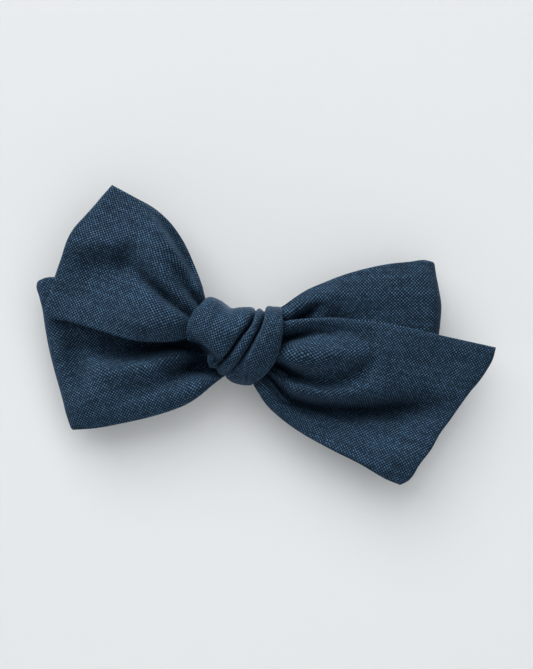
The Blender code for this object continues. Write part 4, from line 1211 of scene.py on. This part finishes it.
def grosgrain():
    """Ribs across the ribbon, with tight threads over them."""
    graph = new_material("navy_grosgrain")
    x, _, z = graph.split(graph.place())
    ribs, weave = graph.wave(x, pitch=0.00075), graph.wave(z, pitch=0.00024)
    height = (ribs + 1.0) * 0.5 + weave * 0.12
    cloud = graph.noise(graph.place(), scale=300.0, detail=3.0, roughness=0.6)
    # Painted shade: the ribs' tops are lighter and the troughs between them darker.
    tone = graph.ramp(height, (0.0, 1.0))
    colour = graph.mix(tone, (0.006, 0.011, 0.026), (0.024, 0.042, 0.088))
    return graph.finish(
        Base_Color=graph.scaled(colour, graph.ramp(cloud, (0.3, 0.7), to=(0.85, 1.15))),
        Roughness=0.72,
        Normal=graph.bump(height, distance=0.00012, strength=0.8),
        Sheen_Weight=0.2,
    )


def grip_rubber():
    """Cloudy rubber with ribs across it and a fine grit."""
    graph = new_material("clear_grip_rubber")
    ribs = graph.wave(graph.split(graph.place())[0], pitch=0.0012)
    grit = graph.noise(graph.place(), scale=2200.0, detail=3.0, roughness=0.6)
    cloud = graph.noise(graph.place(), scale=300.0)
    tone = graph.ramp(cloud, (0.3, 0.7))
    return graph.finish(
        Base_Color=graph.mix(tone, (0.40, 0.41, 0.42), (0.50, 0.51, 0.52)),
        Roughness=graph.ramp(grit, (0.3, 0.7), to=(0.42, 0.62)),
        Normal=graph.bump(ribs + grit * 0.2, distance=0.00008, strength=0.7),
    )


def hot_melt():
    """Milky set adhesive, slightly glossy, with trapped bubbles."""
    graph = new_material("hot_melt_adhesive")
    flow = graph.noise(graph.place(), scale=420.0, detail=3.0)
    cells = graph.value("TexVoronoi", "Distance", {"Vector": graph.place(), "Scale": 1600.0})
    bubble = graph.ramp(cells, (0.0, 0.28), to=(1.0, 0.0))
    tone = graph.ramp(flow, (0.3, 0.7))
    colour = graph.mix(tone, (0.74, 0.70, 0.60), (0.62, 0.58, 0.49))
    return graph.finish(
        Base_Color=graph.mix(bubble * 0.4, colour, (0.86, 0.84, 0.78)),
        Roughness=graph.ramp(flow, (0.3, 0.7), to=(0.22, 0.40)),
        Normal=graph.bump(flow + bubble * 0.2, distance=0.0002, strength=0.5),
    )


def backdrop_material():
    """A pale board, seen only from in front, that never stands in the way of the lights."""
    graph = new_material("pale_backdrop")
    graph.tree.nodes.clear()
    surface = graph.node("OutputMaterial").inputs[0]
    diffuse = graph.value("BsdfDiffuse", inputs={"Color": (0.720, 0.742, 0.756, 1)})
    clear = graph.value("BsdfTransparent")
    rays = graph.node("LightPath").outputs
    incoming = graph.value("NewGeometry", "Incoming")
    towards = {0: incoming, 1: (0, -1, 0)}
    facing = graph.value("VectorMath", "Value", towards, operation="DOT_PRODUCT")
    seen = graph.ramp(facing, (0.80, 0.90)) * Value(graph, rays["Is Camera Ray"])
    # Light bounced off the board still reaches the bow's back.
    away = graph.value("VectorMath", "Value", {0: graph.place()}, operation="LENGTH")
    near = graph.ramp(away, (0.08, 0.14), to=(1.0, 0.0))
    solid = seen.math("MAXIMUM", near * Value(graph, rays["Is Diffuse Ray"]))
    graph.put(surface, graph.value("MixShader", inputs={0: solid, 1: clear, 2: diffuse}))
    return graph.owner


def floor_material():
    """A pale floor that fades into the room a little way from the bow."""
    graph = new_material("pale_floor")
    soft = graph.noise(graph.place(), scale=6.0, detail=3.0)
    x, y, _ = graph.split(graph.place())
    away = (x * x + y * y).math("SQRT")
    tone = graph.ramp(soft, (0.3, 0.7))
    return graph.finish(
        Base_Color=graph.mix(tone, (0.78, 0.78, 0.78), (0.82, 0.82, 0.82)),
        Roughness=0.8,
        Alpha=graph.ramp(away, (0.22, 0.75), to=(1.0, 0.0)),
    )


# ---- the bow and its clip ------------------------------------------------
def dress(obj, mat):
    obj.data.materials.clear()
    obj.data.materials.append(mat)


cloth, steel, wire = chambray(), plated_steel(), spring_wire()
ribbon, rubber, glue = grosgrain(), grip_rubber(), hot_melt()

sash = [
    make_tail("tail_left", TAIL_LEFT),
    make_tail("tail_right", TAIL_RIGHT),
    make_loop("loop_left", LOOP_LEFT),
    make_loop("loop_right", LOOP_RIGHT),
    make_knot(),
    make_waist(),
]
for piece in sash:
    dress(piece, cloth)

for name in ("clip_top_arm", "clip_bottom_arm", "clip_pivot_pin"):
    dress(nodes[name], steel)
    edge = nodes[name].modifiers.new("rolled_edges", "BEVEL")
    edge.width = 0.00009
    edge.segments = 2
    edge.limit_method = "ANGLE"
    edge.angle_limit = math.radians(50)
dress(make_spring(), wire)
dress(nodes["clip_ribbon_lining"], ribbon)
dress(nodes["clip_grip_pad"], rubber)
dress(nodes["glue_bead"], glue)

# ---- stage, in metres ----------------------------------------------------
BACKDROP_Y = -0.0004
BACKDROP_HALF_WIDTH = 0.4
BACKDROP_BOTTOM, BACKDROP_TOP = -0.158, 0.4
FLOOR_HALF = 3
FLOOR_Z = -0.16


def plane(name, corners, mat):
    mesh = bpy.data.meshes.new(name)
    mesh.from_pydata(corners, [], [(0, 1, 2, 3)])
    obj = add_object(name, mesh)
    obj.data.materials.append(mat)
    return obj


# Corners run anticlockwise from the lower or near left.
SQUARE = ((-1, 0), (1, 0), (1, 1), (-1, 1))
backdrop_corners = [
    (x * BACKDROP_HALF_WIDTH, BACKDROP_Y, BACKDROP_TOP if z else BACKDROP_BOTTOM)
    for x, z in SQUARE
]
floor_corners = [(x * FLOOR_HALF, FLOOR_HALF if y else -FLOOR_HALF, FLOOR_Z) for x, y in SQUARE]
staging = [
    plane("backdrop", backdrop_corners, backdrop_material()),
    plane("floor", floor_corners, floor_material()),
]

# ---- lights --------------------------------------------------------------
BOW_MIDDLE = (0.0, -0.015, 0.0)
# Name, place, what it points at, diameter, watts, colour.
LIGHTS = [
    ("key", (-0.26, -0.50, 0.92), BOW_MIDDLE, 0.42, 11.0, (1.0, 0.99, 0.97)),
    ("front", (-0.26, -0.86, 0.60), BOW_MIDDLE, 1.15, 8.5, (1.0, 0.995, 0.985)),
    ("board", (0.22, -1.16, -0.05), (0.0, 0.0, -0.01), 1.3, 6.2, (1.0, 0.985, 0.955)),
    ("fill", (0.35, -1.15, 0.45), BOW_MIDDLE, 0.9, 1.4, (0.93, 0.96, 1.0)),
    ("back", (0.35, 0.95, 0.55), (0.0, 0.0, 0.0), 0.7, 9.0, (1.0, 1.0, 1.0)),
]


def area_light(name, at, towards, diameter, watts, colour):
    light = bpy.data.lights.new(name, "AREA")
    light.shape = "DISK"
    light.size = diameter
    light.energy = watts
    light.color = colour
    obj = add_object(name, light)
    obj.location = at
    obj.rotation_euler = (Vector(towards) - Vector(at)).to_track_quat("-Z", "Y").to_euler()
    return obj


def link_to_stage(light, name, state):
    """Makes the light leave out the staging, or reach nothing else."""
    receivers = bpy.data.collections.new(name)
    for obj in staging:
        receivers.objects.link(obj)
    light.light_linking.receiver_collection = receivers
    for item in receivers.collection_objects:
        item.light_linking.link_state = state


lights = {spec[0]: area_light(*spec) for spec in LIGHTS}
# The key only lights the bow; the board gets the softer front light, and so a soft shadow.
link_to_stage(lights["key"], "key_leaves_out", "EXCLUDE")
link_to_stage(lights["board"], "board_light_reaches", "INCLUDE")

# ---- world and camera ----------------------------------------------------
world = bpy.data.worlds.new("studio")
bpy.context.scene.world = world
sky = Graph(world)
background = sky.tree.nodes["Background"]
background.inputs["Color"].default_value = (0.92, 0.95, 1.0, 1)
# The room looks bright to the camera but lights the bow only a little.
camera_ray = sky.value("LightPath", "Is Camera Ray")
sky.put(background.inputs["Strength"], sky.ramp(camera_ray, (0.0, 1.0), to=(0.14, 0.74)))

camera = bpy.data.cameras.new("camera")
camera.sensor_width = 36.0
camera.lens = 36.0 * VIEW_DISTANCE / VIEW_SPAN
camera.clip_start = 0.02
camera.clip_end = 20.0
camera_object = add_object("camera", camera)
camera_object.location = Vector(EYE * MM)
camera_object.rotation_euler = Vector(FORWARD).to_track_quat("-Z", "Y").to_euler()
scene = bpy.context.scene
scene.camera = camera_object
scene.view_settings.view_transform = "Standard"
scene.view_settings.look = "None"
